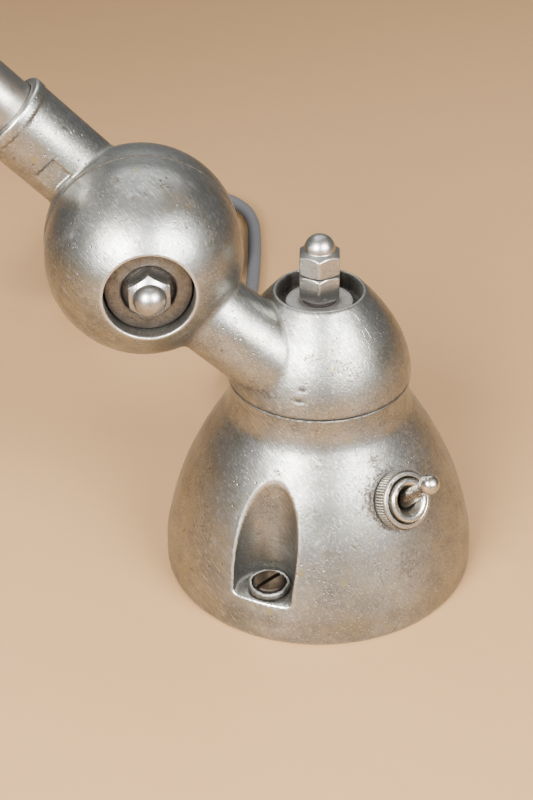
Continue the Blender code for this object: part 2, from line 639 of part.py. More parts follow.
def main():
    """Builds the lamp from the table up."""
    root = empty("lamp", None, Matrix())
    build_base(root)
    build_switch(root)
    build_pivot(root)

    turret = empty("head_pivot", root, shift(0, 0, HEAD_BOTTOM))
    lower_spot = direction(STUB_ANGLE) * STUB_LENGTH + Vector((0, 0, STUB_ROOT - HEAD_BOTTOM))
    lower = empty("lower_joint", turret, shift(*lower_spot))
    build_head(turret, lower)
    joint_fasteners("lower_joint", lower)

    half_ball("lower_arm_casting", 1, LOWER_ANGLE, lower)
    arm("lower_arm", 1, LOWER_ANGLE, LOWER_LENGTH, lower)
    elbow = empty("elbow_joint", lower, shift(*(direction(LOWER_ANGLE) * LOWER_LENGTH)))
    half_ball("elbow_rear_casting", 1, LOWER_ANGLE + 180, elbow)
    half_ball("elbow_front_casting", -1, UPPER_ANGLE, elbow)
    joint_fasteners("elbow_joint", elbow)

    arm("upper_arm", -1, UPPER_ANGLE, UPPER_LENGTH, elbow)
    shade_joint = empty("shade_joint", elbow, shift(*(direction(UPPER_ANGLE) * UPPER_LENGTH)))
    half_ball("upper_arm_casting", -1, UPPER_ANGLE + 180, shade_joint)
    half_ball("shade_casting", 1, SHADE_ANGLE, shade_joint)
    joint_fasteners("shade_joint", shade_joint)
    build_shade(shade_joint)
    build_cord(root)


main()
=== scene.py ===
"""Looks of the architect desk lamp: detailed meshes and worn finishes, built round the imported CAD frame.

Lengths are millimetres in the lamp's own frame (+Z up, table top at Z = 0) and MM turns them into metres.
Angles are degrees, and an arm's angle is measured in the XZ plane from +X towards +Z.
"""

import json
import logging
import math
from collections.abc import Callable, Sequence
from dataclasses import dataclass, field
from enum import Enum

import bpy
import numpy as np
from mathutils import Matrix, Vector

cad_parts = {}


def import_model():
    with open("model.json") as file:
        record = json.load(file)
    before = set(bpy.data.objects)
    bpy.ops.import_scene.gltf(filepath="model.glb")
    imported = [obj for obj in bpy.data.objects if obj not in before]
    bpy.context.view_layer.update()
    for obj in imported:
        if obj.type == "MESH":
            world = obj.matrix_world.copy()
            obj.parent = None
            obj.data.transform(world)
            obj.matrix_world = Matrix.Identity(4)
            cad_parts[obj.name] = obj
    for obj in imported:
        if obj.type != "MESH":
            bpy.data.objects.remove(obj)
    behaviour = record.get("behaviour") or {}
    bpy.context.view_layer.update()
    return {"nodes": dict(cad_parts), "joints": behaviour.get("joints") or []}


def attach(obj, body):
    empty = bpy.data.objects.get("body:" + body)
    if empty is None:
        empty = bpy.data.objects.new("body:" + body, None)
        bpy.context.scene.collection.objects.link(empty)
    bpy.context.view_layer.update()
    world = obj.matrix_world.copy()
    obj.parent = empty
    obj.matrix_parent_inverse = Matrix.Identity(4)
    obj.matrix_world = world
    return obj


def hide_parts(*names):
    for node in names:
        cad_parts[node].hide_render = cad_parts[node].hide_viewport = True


logging.basicConfig(level=logging.INFO, format="%(message)s")
LOG = logging.getLogger("desk_lamp")

Array = np.ndarray
Distance = Callable[[Array], Array]
Colour = tuple[float, float, float]
Outline = Sequence[tuple[float, float]]
MM = 0.001
FULL_TURN = 2 * math.pi


class Body(Enum):
    """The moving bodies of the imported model."""

    BASE = "base"
    LEVER = "switch_toggle"
    TURRET = "turret"
    LOWER_ARM = "lower_arm"
    UPPER_ARM = "upper_arm"
    SHADE = "shade_head"


class Side(Enum):
    """Which way a half ball faces: the nut is at the front, towards -Y."""

    FRONT = -1
    REAR = 1


# Places


def around(axis: str, degrees: float) -> Array:
    """A turn about one axis, as a 4 x 4 matrix."""
    return np.array(Matrix.Rotation(math.radians(degrees), 4, axis))


def shift(x: float, y: float, z: float) -> Array:
    """A move, as a 4 x 4 matrix in millimetres."""
    place = np.eye(4)
    place[:3, 3] = (x, y, z)
    return place


def direction(angle: float) -> Array:
    """The unit vector at an angle in the XZ plane."""
    return np.array([math.cos(math.radians(angle)), 0.0, math.sin(math.radians(angle))])


def along(angle: float) -> Array:
    """Turns local +Z to an angle in the XZ plane and keeps local Y."""
    return around("Y", 90 - angle)


def to_world(points: Array, place: Array) -> Array:
    """Points of a local frame in the lamp's frame: R p + t."""
    return points @ place[:3, :3].T + place[:3, 3]


def to_local(points: Array, place: Array) -> Array:
    """Points of the lamp's frame in a local frame: R^T (p - t)."""
    return (points - place[:3, 3]) @ place[:3, :3]


# Blends and noise


def smooth_min(a: Array, b: Array, width: float) -> Array:
    """The smaller of two distances with a fillet: min(a, b) - h^2 width / 4, h = 1 - |a - b| / width."""
    share = np.maximum(width - np.abs(a - b), 0.0) / width
    return np.minimum(a, b) - share * share * width / 4


def smooth_max(a: Array, b: Array, width: float) -> Array:
    """The larger of two distances with a rounded edge."""
    return -smooth_min(-a, -b, width)


def smooth_step(value: Array) -> Array:
    """3 t^2 - 2 t^3 for t kept from 0 to 1."""
    t = np.clip(value, 0.0, 1.0)
    return t * t * (3 - 2 * t)


def wave_step(value: Array) -> Array:
    """(1 - cos(pi t)) / 2 for t kept from 0 to 1: the gentlest change of course."""
    return (1 - np.cos(math.pi * np.clip(value, 0.0, 1.0))) / 2


def hump(value: Array, width: float) -> Array:
    """A bell curve, exp(-(value / width)^2)."""
    return np.exp(-((value / width) ** 2))


def waves(points: Array, size: float, seed: int, count: int = 18) -> Array:
    """Soft noise from about -1 to 1: a sum of plane waves of random heading and phase, about size apart."""
    draw = np.random.default_rng(seed)
    heading = draw.normal(size=(count, 3))
    heading /= np.linalg.norm(heading, axis=1)[:, None]
    pitch = FULL_TURN / (size * draw.uniform(0.7, 1.6, count))
    phase = draw.uniform(0, FULL_TURN, count)
    return np.sin(points @ (heading * pitch[:, None]).T + phase).sum(1) / math.sqrt(count)


# Marks of use


class Trace(Enum):
    """What a mark leaves on a casting: the name is that of the mask which its finish reads."""

    # Dirt and dark marks, on the mask that also carries painted shade in seams, hollows, creases and at feet.
    GRIME = "grime"
    STAIN = "stain"
    WEAR = "wear"


@dataclass(frozen=True)
class Mark:
    """A soft-edged mark on a casting's skin, with its size in millimetres.

    On a turned part it stands at an azimuth and a height. On a half ball it stands at a distance across and
    a lift angle.
    """

    first: float
    second: float
    wide: float
    tall: float
    trace: Trace = Trace.STAIN
    strength: float = 0.8
    depth: float = 0.0

    def on(self, first: Array, first_scale: Array | float, second: Array, second_scale: float = 1.0) -> Array:
        """exp(-(across / wide)^2 - (up / tall)^2), with both measured along the skin."""
        across = ((first - self.first + 180.0) % 360.0 - 180.0) * first_scale
        up = (second - self.second) * second_scale
        return np.exp(-((across / self.wide) ** 2) - (up / self.tall) ** 2)

    def turned(self, points: Array) -> Array:
        """The mark on a part turned about the lamp's own vertical axis."""
        azimuth = np.degrees(np.arctan2(points[:, 1], points[:, 0]))
        return self.on(azimuth, np.radians(np.hypot(points[:, 0], points[:, 1])), points[:, 2])


# Meshes


@dataclass
class Surface:
    """A mesh as arrays, in millimetres, with outward normals and the masks that its finish reads."""

    points: Array
    faces: list[Array]
    normals: Array
    masks: dict[str, Array] = field(default_factory=dict)

    def placed(self, place: Array) -> "Surface":
        """The same surface moved by a matrix."""
        return Surface(to_world(self.points, place), self.faces, self.normals @ place[:3, :3].T,
                       dict(self.masks))

    def piece(self, name: str, body: Body, finish: "Finish", slot: str,
              nodes: Sequence[str] = ()) -> bpy.types.Object:
        """Puts the surface in the scene as one piece of the lamp.

        Args:
            name: The piece's name.
            body: The CAD body that it moves with.
            finish: What it is made of.
            slot: The record's material slot; not used.
            nodes: CAD nodes that it stands for.

        Returns:
            The new object.
        """
        mesh = bpy.data.meshes.new(name)
        faces = [row for block in self.faces for row in block.tolist()]
        mesh.from_pydata((self.points * MM).tolist(), [], faces)
        mesh.polygons.foreach_set("use_smooth", np.ones(len(mesh.polygons), bool))
        for mask, values in self.masks.items():
            mesh.attributes.new(mask, "FLOAT", "POINT").data.foreach_set("value", values.astype(np.float32))
        mesh.normals_split_custom_set_from_vertices(self.normals.tolist())
        obj = bpy.data.objects.new(name, mesh)
        bpy.context.scene.collection.objects.link(obj)
        mesh.materials.append(finish.material())
        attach(obj, body.value)
        if nodes:
            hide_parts(*nodes)
        LOG.info("%s: %d faces, rides on %s", name, len(faces), body.value)
        return obj


def unit(vectors: Array) -> Array:
    """Rows scaled to length 1."""
    return vectors / np.maximum(np.linalg.norm(vectors, axis=-1, keepdims=True), 1e-12)


def grid_surface(grid: Array, closed: bool, masks: dict[str, Array] | None = None) -> Surface:
    """The surface of a grid of points (row v, column u), round in u.

    The normal is dp/dv x dp/du. Rows that shrink to a point on the axis become one vertex.

    Args:
        grid: Rows by columns by 3.
        closed: Whether the last row joins the first.
        masks: Values for each grid point.

    Returns:
        The surface.
    """
    rows, columns = grid.shape[:2]
    across = np.roll(grid, -1, 1) - np.roll(grid, 1, 1)
    down = np.roll(grid, -1, 0) - np.roll(grid, 1, 0) if closed else np.gradient(grid, axis=0)
    normals = unit(np.cross(down, across))
    index = np.arange(rows * columns).reshape(rows, columns)
    tight = (np.ptp(grid, axis=1).max(1) < 1e-6) & (not closed)
    for row in np.flatnonzero(tight):
        index[row] = index[row, 0]
        normals[row] = unit((grid[row, 0] - grid[1 if row == 0 else row - 1].mean(0))[None])[0]
    upper = index if closed else index[:-1]
    lower = np.roll(index, -1, 0) if closed else index[1:]
    quads = np.stack([upper, lower, np.roll(lower, -1, 1), np.roll(upper, -1, 1)], -1).reshape(-1, 4)
    top = quads[:, 0] == quads[:, 3]
    bottom = quads[:, 1] == quads[:, 2]
    faces = [quads[~top & ~bottom], quads[top][:, :3], quads[bottom][:, [0, 1, 3]]]
    used = np.zeros(rows * columns, bool)
    for block in faces:
        used[block.ravel()] = True
    renumber = np.cumsum(used) - 1
    faces = [renumber[block] for block in faces if len(block)]
    kept = {name: values.reshape(-1)[used] for name, values in (masks or {}).items()}
    return Surface(grid.reshape(-1, 3)[used], faces, normals.reshape(-1, 3)[used], kept)


def rounded(outline: Outline, radius: float, closed: bool = False, steps: int = 4) -> Array:
    """An outline with its corners rounded by short quadratic curves, (1-t)^2 a + 2 t (1-t) b + t^2 c."""
    points = np.array(outline, float)
    before = np.roll(points, 1, 0)
    after = np.roll(points, -1, 0)
    back = np.linalg.norm(before - points, axis=1)
    ahead = np.linalg.norm(after - points, axis=1)
    reach = np.minimum(radius, np.minimum(back, ahead) * 0.45)[:, None]
    start = points + unit(before - points) * reach
    end = points + unit(after - points) * reach
    t = np.linspace(0, 1, steps + 1)[None, :, None]
    curves = (1 - t) ** 2 * start[:, None] + 2 * t * (1 - t) * points[:, None] + t * t * end[:, None]
    if closed:
        return curves.reshape(-1, 2)
    return np.concatenate([points[:1], curves[1:-1].reshape(-1, 2), points[-1:]])


def spaced(outline: Array, gap: float) -> Array:
    """The outline with its long runs cut into steps no longer than gap; its own points stay."""
    runs = np.linalg.norm(np.diff(outline, axis=0), axis=1)
    counts = np.maximum(1, np.ceil(runs / gap).astype(int))
    start = np.repeat(np.arange(len(runs)), counts)
    share = ((np.arange(counts.sum()) - np.repeat(np.cumsum(counts) - counts, counts))
             / np.repeat(counts, counts))
    inner = outline[start] + (outline[start + 1] - outline[start]) * share[:, None]
    return np.concatenate([inner, outline[-1:]])


def flowing(points: Outline, count: int) -> Array:
    """A Catmull-Rom curve through points: 0.5 (2b + (c-a)t + (2a-5b+4c-d)t^2 + (3b-a-3c+d)t^3)."""
    p = np.array(points, float)
    p = np.concatenate([[2 * p[0] - p[1]], p, [2 * p[-1] - p[-2]]])
    at = np.linspace(0, len(points) - 1, count)
    i = np.minimum(at.astype(int), len(points) - 2)
    t = (at - i)[:, None]
    a, b, c, d = p[i], p[i + 1], p[i + 2], p[i + 3]
    return 0.5 * (2 * b + (c - a) * t + (2 * a - 5 * b + 4 * c - d) * t**2 + (3 * b - a - 3 * c + d) * t**3)


Shaper = Callable[[Array, Array, Array], Array]


def lathe(outline: Array, sides: int, shaper: Shaper | None = None, closed: bool = False) -> Surface:
    """A turned surface: point(u, v) = (r cos u, r sin u, h) for an outline of (r, h) run down its outer side.

    Args:
        outline: Radius and height at each row.
        sides: Columns round the axis.
        shaper: Gives the radius from the angle, the radius and the height, for flats, teeth or threads.
        closed: Whether the outline is a loop, as a ring's is.

    Returns:
        The surface about local Z.
    """
    u = np.arange(sides) * FULL_TURN / sides
    r, h = (np.broadcast_to(outline[:, [i]], (len(outline), sides)) for i in (0, 1))
    angle = np.broadcast_to(u[None, :], r.shape)
    if shaper is not None:
        r = np.where(r > 1e-6, shaper(angle, r, h), r)
    return grid_surface(np.stack([r * np.cos(angle), r * np.sin(angle), h], -1), closed)


EDGES = [(a, b) for a in np.ndindex(2, 2, 2) for b in np.ndindex(2, 2, 2) if sum(b) - sum(a) == 1 and
         sum(abs(x - y) for x, y in zip(a, b)) == 1]


def slope(distance: Distance, points: Array, reach: float) -> Array:
    """The unit gradient of a distance by central differences."""
    steps = np.eye(3) * reach
    return unit(np.stack([distance(points + s) - distance(points - s) for s in steps], -1))


def sampled(distance: Distance, low: Array, counts: Array, cell: float) -> Array:
    """A distance on a grid, worked out only in blocks of 8 cells that the surface may cross."""
    block = 8
    blocks = counts // block
    middle = (np.stack(np.meshgrid(*[np.arange(n) for n in blocks], indexing="ij"), -1) + 0.5) * block - 0.5
    rough = distance((low + cell * middle).reshape(-1, 3)).reshape(blocks)
    near = np.abs(rough) < 1.5 * block * cell
    values = rough.repeat(block, 0).repeat(block, 1).repeat(block, 2)
    spots = np.argwhere(near.repeat(block, 0).repeat(block, 1).repeat(block, 2))
    fine = np.concatenate([distance(low + cell * part)
                           for part in np.array_split(spots, len(spots) // 200000 + 1)])
    values[tuple(spots.T)] = fine
    return values


def contour(distance: Distance, low: Sequence[float], high: Sequence[float], cell: float) -> Surface:
    """The surface where a signed distance is 0, by dual contouring.

    Each cell that the surface crosses gets the point x that is nearest to the planes through its crossings,
    the least squares of n.(x - c), so that edges stay crisp. Each grid edge that crosses makes a quad.

    Args:
        distance: Signed distance, negative inside, for rows of points.
        low: Lowest corner of the space that holds the shape.
        high: Highest corner.
        cell: Grid step.

    Returns:
        The surface.
    """
    low = np.array(low, float) - cell
    counts = (np.ceil((np.array(high) + cell - low) / cell / 8).astype(int) + 1) * 8
    values = sampled(distance, low, counts, cell)
    inside = values < 0
    filled = sum(inside[a:a + counts[0] - 1, b:b + counts[1] - 1, c:c + counts[2] - 1].astype(np.int8)
                 for a, b, c in np.ndindex(2, 2, 2))
    active = (filled > 0) & (filled < 8)
    cells = np.argwhere(active)
    planes = np.zeros((len(cells), 3, 3))
    offsets = np.zeros((len(cells), 3))
    middle = np.zeros((len(cells), 3))
    hits = np.zeros(len(cells))
    for a, b in EDGES:
        start, end = values[tuple((cells + a).T)], values[tuple((cells + b).T)]
        rows = np.flatnonzero((start < 0) != (end < 0))
        share = (start / (start - end + (start == end)))[rows, None]
        at = low + cell * (cells[rows] + a + share * (np.array(b) - a))
        normal = slope(distance, at, cell * 0.03)
        middle[rows] += at
        hits[rows] += 1
        planes[rows] += normal[:, :, None] * normal[:, None, :]
        offsets[rows] += normal * (normal * at).sum(1)[:, None]
    middle /= hits[:, None]
    rest = offsets - np.einsum("nij,nj->ni", planes, middle)
    move = np.linalg.solve(planes + 0.05 * np.eye(3), rest[:, :, None])[:, :, 0]
    points = middle + np.clip(move, -0.7 * cell, 0.7 * cell)
    index = np.full(active.shape, -1)
    index[active] = np.arange(len(cells))
    quads = []
    for axis in range(3):
        u, v = np.eye(3, dtype=int)[(axis + 1) % 3], np.eye(3, dtype=int)[(axis + 2) % 3]
        first = np.take(inside, np.arange(counts[axis] - 1), axis)
        second = np.take(inside, np.arange(1, counts[axis]), axis)
        spots = np.argwhere(first != second)
        spots = spots[((spots >= u + v) & (spots < counts - 1)).all(1)]
        ring = [index[tuple((spots - a * u - b * v).T)] for a, b in ((0, 0), (1, 0), (1, 1), (0, 1))]
        quad = np.stack(ring, -1)
        outward = first[tuple(spots.T)]
        quads.append(np.where(outward[:, None], quad, quad[:, ::-1]))
    return Surface(points, [np.concatenate(quads)], slope(distance, points, cell * 0.4))


def marked(masks: dict[str, Array], points: Array, marks: Sequence[Mark]) -> dict[str, Array]:
    """Adds the marks of a turned part to its masks and keeps them from 0 to 1."""
    for mark in marks:
        masks[mark.trace.value] = masks[mark.trace.value] + mark.strength * mark.turned(points)
    return {name: np.clip(values, 0.0, 1.0) for name, values in masks.items()}


# Shader arithmetic


class Wire:
    """A shader socket that takes part in arithmetic, each operation adding its Math node."""

    def __init__(self, recipe: "Recipe", socket: bpy.types.NodeSocket) -> None:
        """Wraps one output socket."""
        self.recipe = recipe
        self.socket = socket

    def _math(self, operation: str, first: "Wire | float", second: "Wire | float",
              clamp: bool = False) -> "Wire":
        """The output of one Math node."""
        return self.recipe.node("ShaderNodeMath", {"operation": operation, "use_clamp": clamp},
                                {0: first, 1: second})

    def __add__(self, other: "Wire | float") -> "Wire":
        """self + other."""
        return self._math("ADD", self, other)

    def __radd__(self, other: float) -> "Wire":
        """other + self."""
        return self._math("ADD", other, self)

    def __sub__(self, other: "Wire | float") -> "Wire":
        """self - other."""
        return self._math("SUBTRACT", self, other)

    def __rsub__(self, other: float) -> "Wire":
        """other - self."""
        return self._math("SUBTRACT", other, self)

    def __mul__(self, other: "Wire | float") -> "Wire":
        """self * other."""
        return self._math("MULTIPLY", self, other)

    def __rmul__(self, other: float) -> "Wire":
        """other * self."""
        return self._math("MULTIPLY", other, self)

    def above(self, low: float, high: float) -> "Wire":
        """0 up to low, rising to 1 at high."""
        return self._math("MULTIPLY", self - low, 1.0 / (high - low), clamp=True)

    def near(self, level: float, width: float) -> "Wire":
        """1 at a level, falling to 0 at width on both sides of it."""
        far = self._math("ABSOLUTE", self - level, 0.0)
        return self._math("SUBTRACT", 1.0, far * (1.0 / width), clamp=True)

    def clamped(self) -> "Wire":
        """Kept from 0 to 1."""
        return self._math("ADD", self, 0.0, clamp=True)


class Recipe:
    """The nodes of one material."""

    def __init__(self, name: str) -> None:
        """Starts from a plain Principled material."""
        self.material = bpy.data.materials.new(name)
        self.material.use_nodes = True
        self.tree = self.material.node_tree
        self.shader = self.tree.nodes["Principled BSDF"]
        self._place: Wire | None = None

    def node(self, kind: str, settings: dict, sockets: dict, output: int | str = 0) -> Wire:
        """Adds one node.

        Args:
            kind: The node's type.
            settings: Its properties; "stops" gives a ramp's positions and colours.
            sockets: Values or wires by socket name or number.
            output: Which output to return.

        Returns:
            The output as a wire.
        """
        made = self.tree.nodes.new(kind)
        for name, value in settings.items():
            if name == "stops":
                ramp = made.color_ramp.elements
                while len(ramp) < len(value):
                    ramp.new(0.5)
                for element, (position, colour) in zip(ramp, value):
                    element.position = position
                    element.color = (*colour, 1.0)
            else:
                setattr(made, name, value)
        for name, value in sockets.items():
            self.feed(made.inputs[name], value)
        return Wire(self, made.outputs[output])

    def feed(self, socket: bpy.types.NodeSocket, value: "Wire | float | tuple") -> None:
        """Links a wire to a socket or sets its value."""
        if isinstance(value, Wire):
            self.tree.links.new(value.socket, socket)
        elif isinstance(value, tuple) and len(value) == 3 and socket.type == "RGBA":
            socket.default_value = (*value, 1.0)
        else:
            socket.default_value = value

    def place(self, stretch: Colour = (1.0, 1.0, 1.0), turn: Colour = (0.0, 0.0, 0.0)) -> Wire:
        """Object coordinates, turned and then drawn out: a pattern is stretch times longer on its axes."""
        if self._place is None:
            self._place = self.node("ShaderNodeTexCoord", {}, {}, "Object")
        return self.node("ShaderNodeMapping", {"vector_type": "TEXTURE"},
                         {"Vector": self._place, "Scale": stretch, "Rotation": turn})

    def noise(self, size: float, detail: float = 3.0, stretch: Colour = (1.0, 1.0, 1.0),
              turn: Colour = (0.0, 0.0, 0.0),
              rough: float = 0.55) -> Wire:
        """Noise from 0 to 1 with features of about size millimetres."""
        return self.node("ShaderNodeTexNoise", {},
                         {"Vector": self.place(stretch, turn), "Scale": 1 / (size * MM),
                                                    "Detail": detail, "Roughness": rough})

    def specks(self, size: float, share: float, turn: Colour = (0.0, 0.0, 0.0)) -> Wire:
        """Round specks, 1 inside, about size millimetres apart; share is their radius in cells."""
        far = self.node("ShaderNodeTexVoronoi", {},
                        {"Vector": self.place(turn=turn), "Scale": 1 / (size * MM),
                                                     "Randomness": 1.0}, "Distance")
        return 1.0 - far.above(share * 0.55, share)

    def hairlines(self, size: float, turn: Colour, width: float = 0.012) -> Wire:
        """Thin, slightly curved scratches: the places where long, soft noise crosses one half."""
        field = self.noise(size, 0.0, (1.0, 6.0, 2.0), turn)
        return field.near(0.5, width) * self.noise(size * 0.7, 2.0, turn=turn).above(0.60, 0.66)

    def mask(self, name: str) -> Wire:
        """A value that the mesh carries."""
        return self.node("ShaderNodeAttribute", {"attribute_name": name}, {}, "Fac")

    def mix(self, share: "Wire | float", a: "Wire | Colour", b: "Wire | Colour") -> Wire:
        """The colour a at share 0 and b at share 1."""
        return self.node("ShaderNodeMix", {"data_type": "RGBA"}, {0: share, 6: a, 7: b}, 2)

    def dress(self, colour: Wire, roughness: "Wire | float", height: Wire | None, depth: float = 0.1,
              **constants: float) -> bpy.types.Material:
        """Feeds the shader.

        Args:
            colour: Base Color.
            roughness: Roughness.
            height: Relief from 0 to 1, or None.
            depth: What height 1 means, in millimetres.
            **constants: Other shader sockets, with underscores for spaces.

        Returns:
            The material.
        """
        self.feed(self.shader.inputs["Base Color"], colour)
        self.feed(self.shader.inputs["Roughness"], roughness)
        for name, value in constants.items():
            self.shader.inputs[name.replace("_", " ")].default_value = value
        if height is not None:
            bump = self.node("ShaderNodeBump", {},
                             {"Strength": 1.0, "Distance": depth * MM, "Height": height})
            self.feed(self.shader.inputs["Normal"], bump)
        return self.material


# Finishes


@dataclass(frozen=True)
class Finish:
    """A finish: its name and how to make its material."""

    name: str

    def material(self) -> bpy.types.Material:
        """The material, made on first use and shared after that."""
        made = bpy.data.materials.get(self.name)
        return made if made is not None else self.make(Recipe(self.name))

    def make(self, recipe: Recipe) -> bpy.types.Material:
        """Adds the nodes of this finish."""
        raise NotImplementedError


@dataclass(frozen=True)
class AgedMetal(Finish):
    """Metal with tarnish, spots, pits, brush marks, scratches, grime and painted shade in corners and seams,
    and bright worn edges.
    """

    light: Colour = (0.296, 0.300, 0.294)
    dull: Colour = (0.182, 0.182, 0.170)
    tarnish: Colour = (0.104, 0.093, 0.075)
    spot: Colour = (0.290, 0.265, 0.150)
    # Dark colour of pits and freckles, and of the dirt and painted shade that the mesh's mask marks.
    grime: Colour = (0.045, 0.037, 0.030)
    worn: Colour = (0.72, 0.715, 0.69)
    roughness: float = 0.36
    cloud_size: float = 12.0
    grain_size: float = 0.7
    relief: float = 0.10

    def make(self, recipe: Recipe) -> bpy.types.Material:
        """Adds the nodes of this finish."""
        clouds = recipe.noise(self.cloud_size, 6.0, rough=0.62)
        tints = recipe.noise(self.cloud_size * 0.6, 5.0, turn=(0.4, 0.9, 0.2), rough=0.66)
        grain = recipe.noise(self.grain_size, 4.0, rough=0.75)
        skin = recipe.noise(3.4, 3.0, turn=(0.8, 0.1, 0.3))
        brush = recipe.noise(0.42, 2.0, (1.0, 13.0, 1.0), (0.55, 0.35, 0.85), 0.6)
        cross = recipe.noise(0.5, 2.0, (10.0, 1.0, 1.0), (-0.35, 0.75, 0.4), 0.6)
        dirty = recipe.noise(17.0, 4.0, turn=(1.0, 0.3, 0.5), rough=0.65)
        spots = recipe.specks(9.0, 0.17, (0.3, 0.6, 0.1)) * dirty.above(0.44, 0.58)
        freckles = recipe.specks(2.1, 0.17) * dirty.above(0.46, 0.62)
        pits = recipe.specks(1.05, 0.19, (0.2, 0.4, 0.9)) * tints.above(0.5, 0.66)
        hair = (recipe.hairlines(9.0, (0.4, 0.2, 0.9)) + recipe.hairlines(7.0, (1.2, -0.5, 0.3))).clamped()
        # Darker where the mesh's mask marks dirt and painted shade in seams, recesses, creases and at feet.
        grime = (recipe.mask("grime") * (0.55 + 0.9 * recipe.noise(1.4, 4.0, rough=0.7))).clamped()
        worn = (recipe.mask("wear") * (0.35 + 1.3 * recipe.noise(2.2, 3.0, rough=0.7))).clamped()
        stained = recipe.mask("stain")
        blots = recipe.noise(1.0, 5.0, turn=(0.1, 0.7, 0.4), rough=0.85) + 0.17 * stained
        stain = blots.above(0.60, 0.66) * stained.above(0.02, 0.30)
        colour = recipe.mix(clouds.above(0.36, 0.66), self.light, self.dull)
        colour = recipe.mix(tints.above(0.50, 0.72) * 0.55, colour, self.tarnish)
        colour = recipe.mix(tints.above(0.52, 0.38) * 0.25, colour, self.spot)
        colour = recipe.mix(grain.above(0.50, 0.74) * 0.42, colour, self.tarnish)
        colour = recipe.mix(brush.above(0.52, 0.72) * 0.40, colour, self.worn)
        colour = recipe.mix(cross.above(0.54, 0.74) * 0.30, colour, self.dull)
        colour = recipe.mix(spots * 0.75, colour, self.spot)
        colour = recipe.mix(freckles * 0.80, colour, self.grime)
        colour = recipe.mix(pits * 0.85, colour, self.grime)
        colour = recipe.mix(hair * 0.70, colour, self.tarnish)
        colour = recipe.mix(stain * 0.85, colour, (0.085, 0.062, 0.046))
        colour = recipe.mix(grime * 0.95, colour, self.grime)
        colour = recipe.mix(worn * 0.90, colour, self.worn)
        rough = self.roughness + 0.22 * (clouds - 0.5) + 0.16 * (grain - 0.5) + 0.20 * (tints - 0.5)
        rough = rough + 0.30 * grime - 0.08 * worn + 0.3 * stain
        height = (0.35 * grain + 0.55 * skin + 0.30 * brush + 0.22 * cross
                  - 0.8 * pits - 0.8 * freckles - 0.4 * hair)
        return recipe.dress(colour, rough.clamped(), height - 0.08 * stain, self.relief, Metallic=1.0)


@dataclass(frozen=True)
class PlainMetal(Finish):
    """Turned or drawn metal with fine lines, brown speckle, and dirt and painted shade in its corners."""

    light: Colour = (0.50, 0.47, 0.42)
    dull: Colour = (0.34, 0.30, 0.25)
    rust: Colour = (0.13, 0.07, 0.035)
    roughness: float = 0.34
    rust_share: float = 0.5
    speck_size: float = 1.1
    line_size: float = 0.5
    turn: Colour = (0.0, 0.0, 0.0)
    relief: float = 0.03

    def make(self, recipe: Recipe) -> bpy.types.Material:
        """Adds the nodes of this finish."""
        clouds = recipe.noise(3.6, 5.0, rough=0.65)
        lines = recipe.noise(self.line_size, 3.0, (1.0, 1.0, 14.0), self.turn)
        specks = (recipe.specks(self.speck_size, 0.30)
                  * recipe.noise(3.0, 3.0, turn=(0.5, 0.2, 0.9)).above(0.44, 0.62))
        rust = recipe.noise(1.3, 5.0, rough=0.75, turn=(0.2, 0.8, 0.1)).above(0.52, 0.68) * self.rust_share
        # Dirt, and painted shade in corners and under parts, from the mesh's mask.
        grime = (recipe.mask("grime") * (0.5 + recipe.noise(0.8, 4.0, rough=0.7))).clamped()
        worn = recipe.mask("wear")
        colour = recipe.mix(clouds.above(0.38, 0.66), self.light, self.dull)
        colour = recipe.mix(lines.above(0.45, 0.7) * 0.3, colour, self.light)
        colour = recipe.mix(rust, colour, self.rust)
        colour = recipe.mix(specks * 0.7, colour, self.rust)
        colour = recipe.mix(grime * 0.92, colour, (0.035, 0.03, 0.027))
        colour = recipe.mix(worn * 0.8, colour, (0.78, 0.76, 0.71))
        rough = self.roughness + 0.2 * (clouds - 0.5) + 0.3 * rust + 0.25 * grime - 0.08 * worn
        height = 0.4 * lines + 0.5 * clouds + 0.5 * rust - 0.6 * specks
        return recipe.dress(colour, rough.clamped(), height, self.relief, Metallic=1.0)


@dataclass(frozen=True)
class Moulded(Finish):
    """Moulded plastic, rubber or glass: a plain body colour with faint clouds and a soft grain."""

    light: Colour = (0.055, 0.055, 0.06)
    dull: Colour = (0.035, 0.035, 0.038)
    dust: Colour = (0.16, 0.155, 0.15)
    dust_share: float = 0.3
    roughness: float = 0.45
    grain_size: float = 0.35
    relief: float = 0.02
    coat: float = 0.0
    specular: float = 0.5

    def make(self, recipe: Recipe) -> bpy.types.Material:
        """Adds the nodes of this finish."""
        clouds = recipe.noise(9.0, 4.0)
        grain = recipe.noise(self.grain_size, 3.0, rough=0.6)
        dust = recipe.noise(2.4, 5.0, rough=0.75, turn=(0.3, 0.5, 0.1)).above(0.5, 0.72) * self.dust_share
        colour = recipe.mix(clouds.above(0.35, 0.65), self.light, self.dull)
        colour = recipe.mix(dust, colour, self.dust)
        # Darker where the mesh's mask marks dirt and painted shade.
        colour = recipe.mix(recipe.mask("grime") * 0.8, colour, self.dull)
        rough = self.roughness + 0.12 * (clouds - 0.5) + 0.12 * (grain - 0.5) + 0.25 * dust
        return recipe.dress(colour, rough.clamped(), grain, self.relief, Metallic=0.0, Coat_Weight=self.coat,
                            Specular_IOR_Level=self.specular)


@dataclass(frozen=True)
class Felt(Finish):
    """Pressed wool felt: short crossing fibres and a rough, soft face."""

    colour: Colour = (0.065, 0.085, 0.065)
    fibre: Colour = (0.12, 0.14, 0.11)

    def make(self, recipe: Recipe) -> bpy.types.Material:
        """Adds the nodes of this finish."""
        one = recipe.noise(0.5, 3.0, (1.0, 7.0, 1.0), (0.0, 0.0, 0.5))
        two = recipe.noise(0.5, 3.0, (7.0, 1.0, 1.0), (0.0, 0.0, -0.3))
        fibres = 0.5 * one + 0.5 * two
        colour = recipe.mix(fibres.above(0.42, 0.64), self.colour, self.fibre)
        return recipe.dress(colour, 0.92 + 0.08 * (fibres - 0.5), fibres, 0.25, Sheen_Weight=0.3)


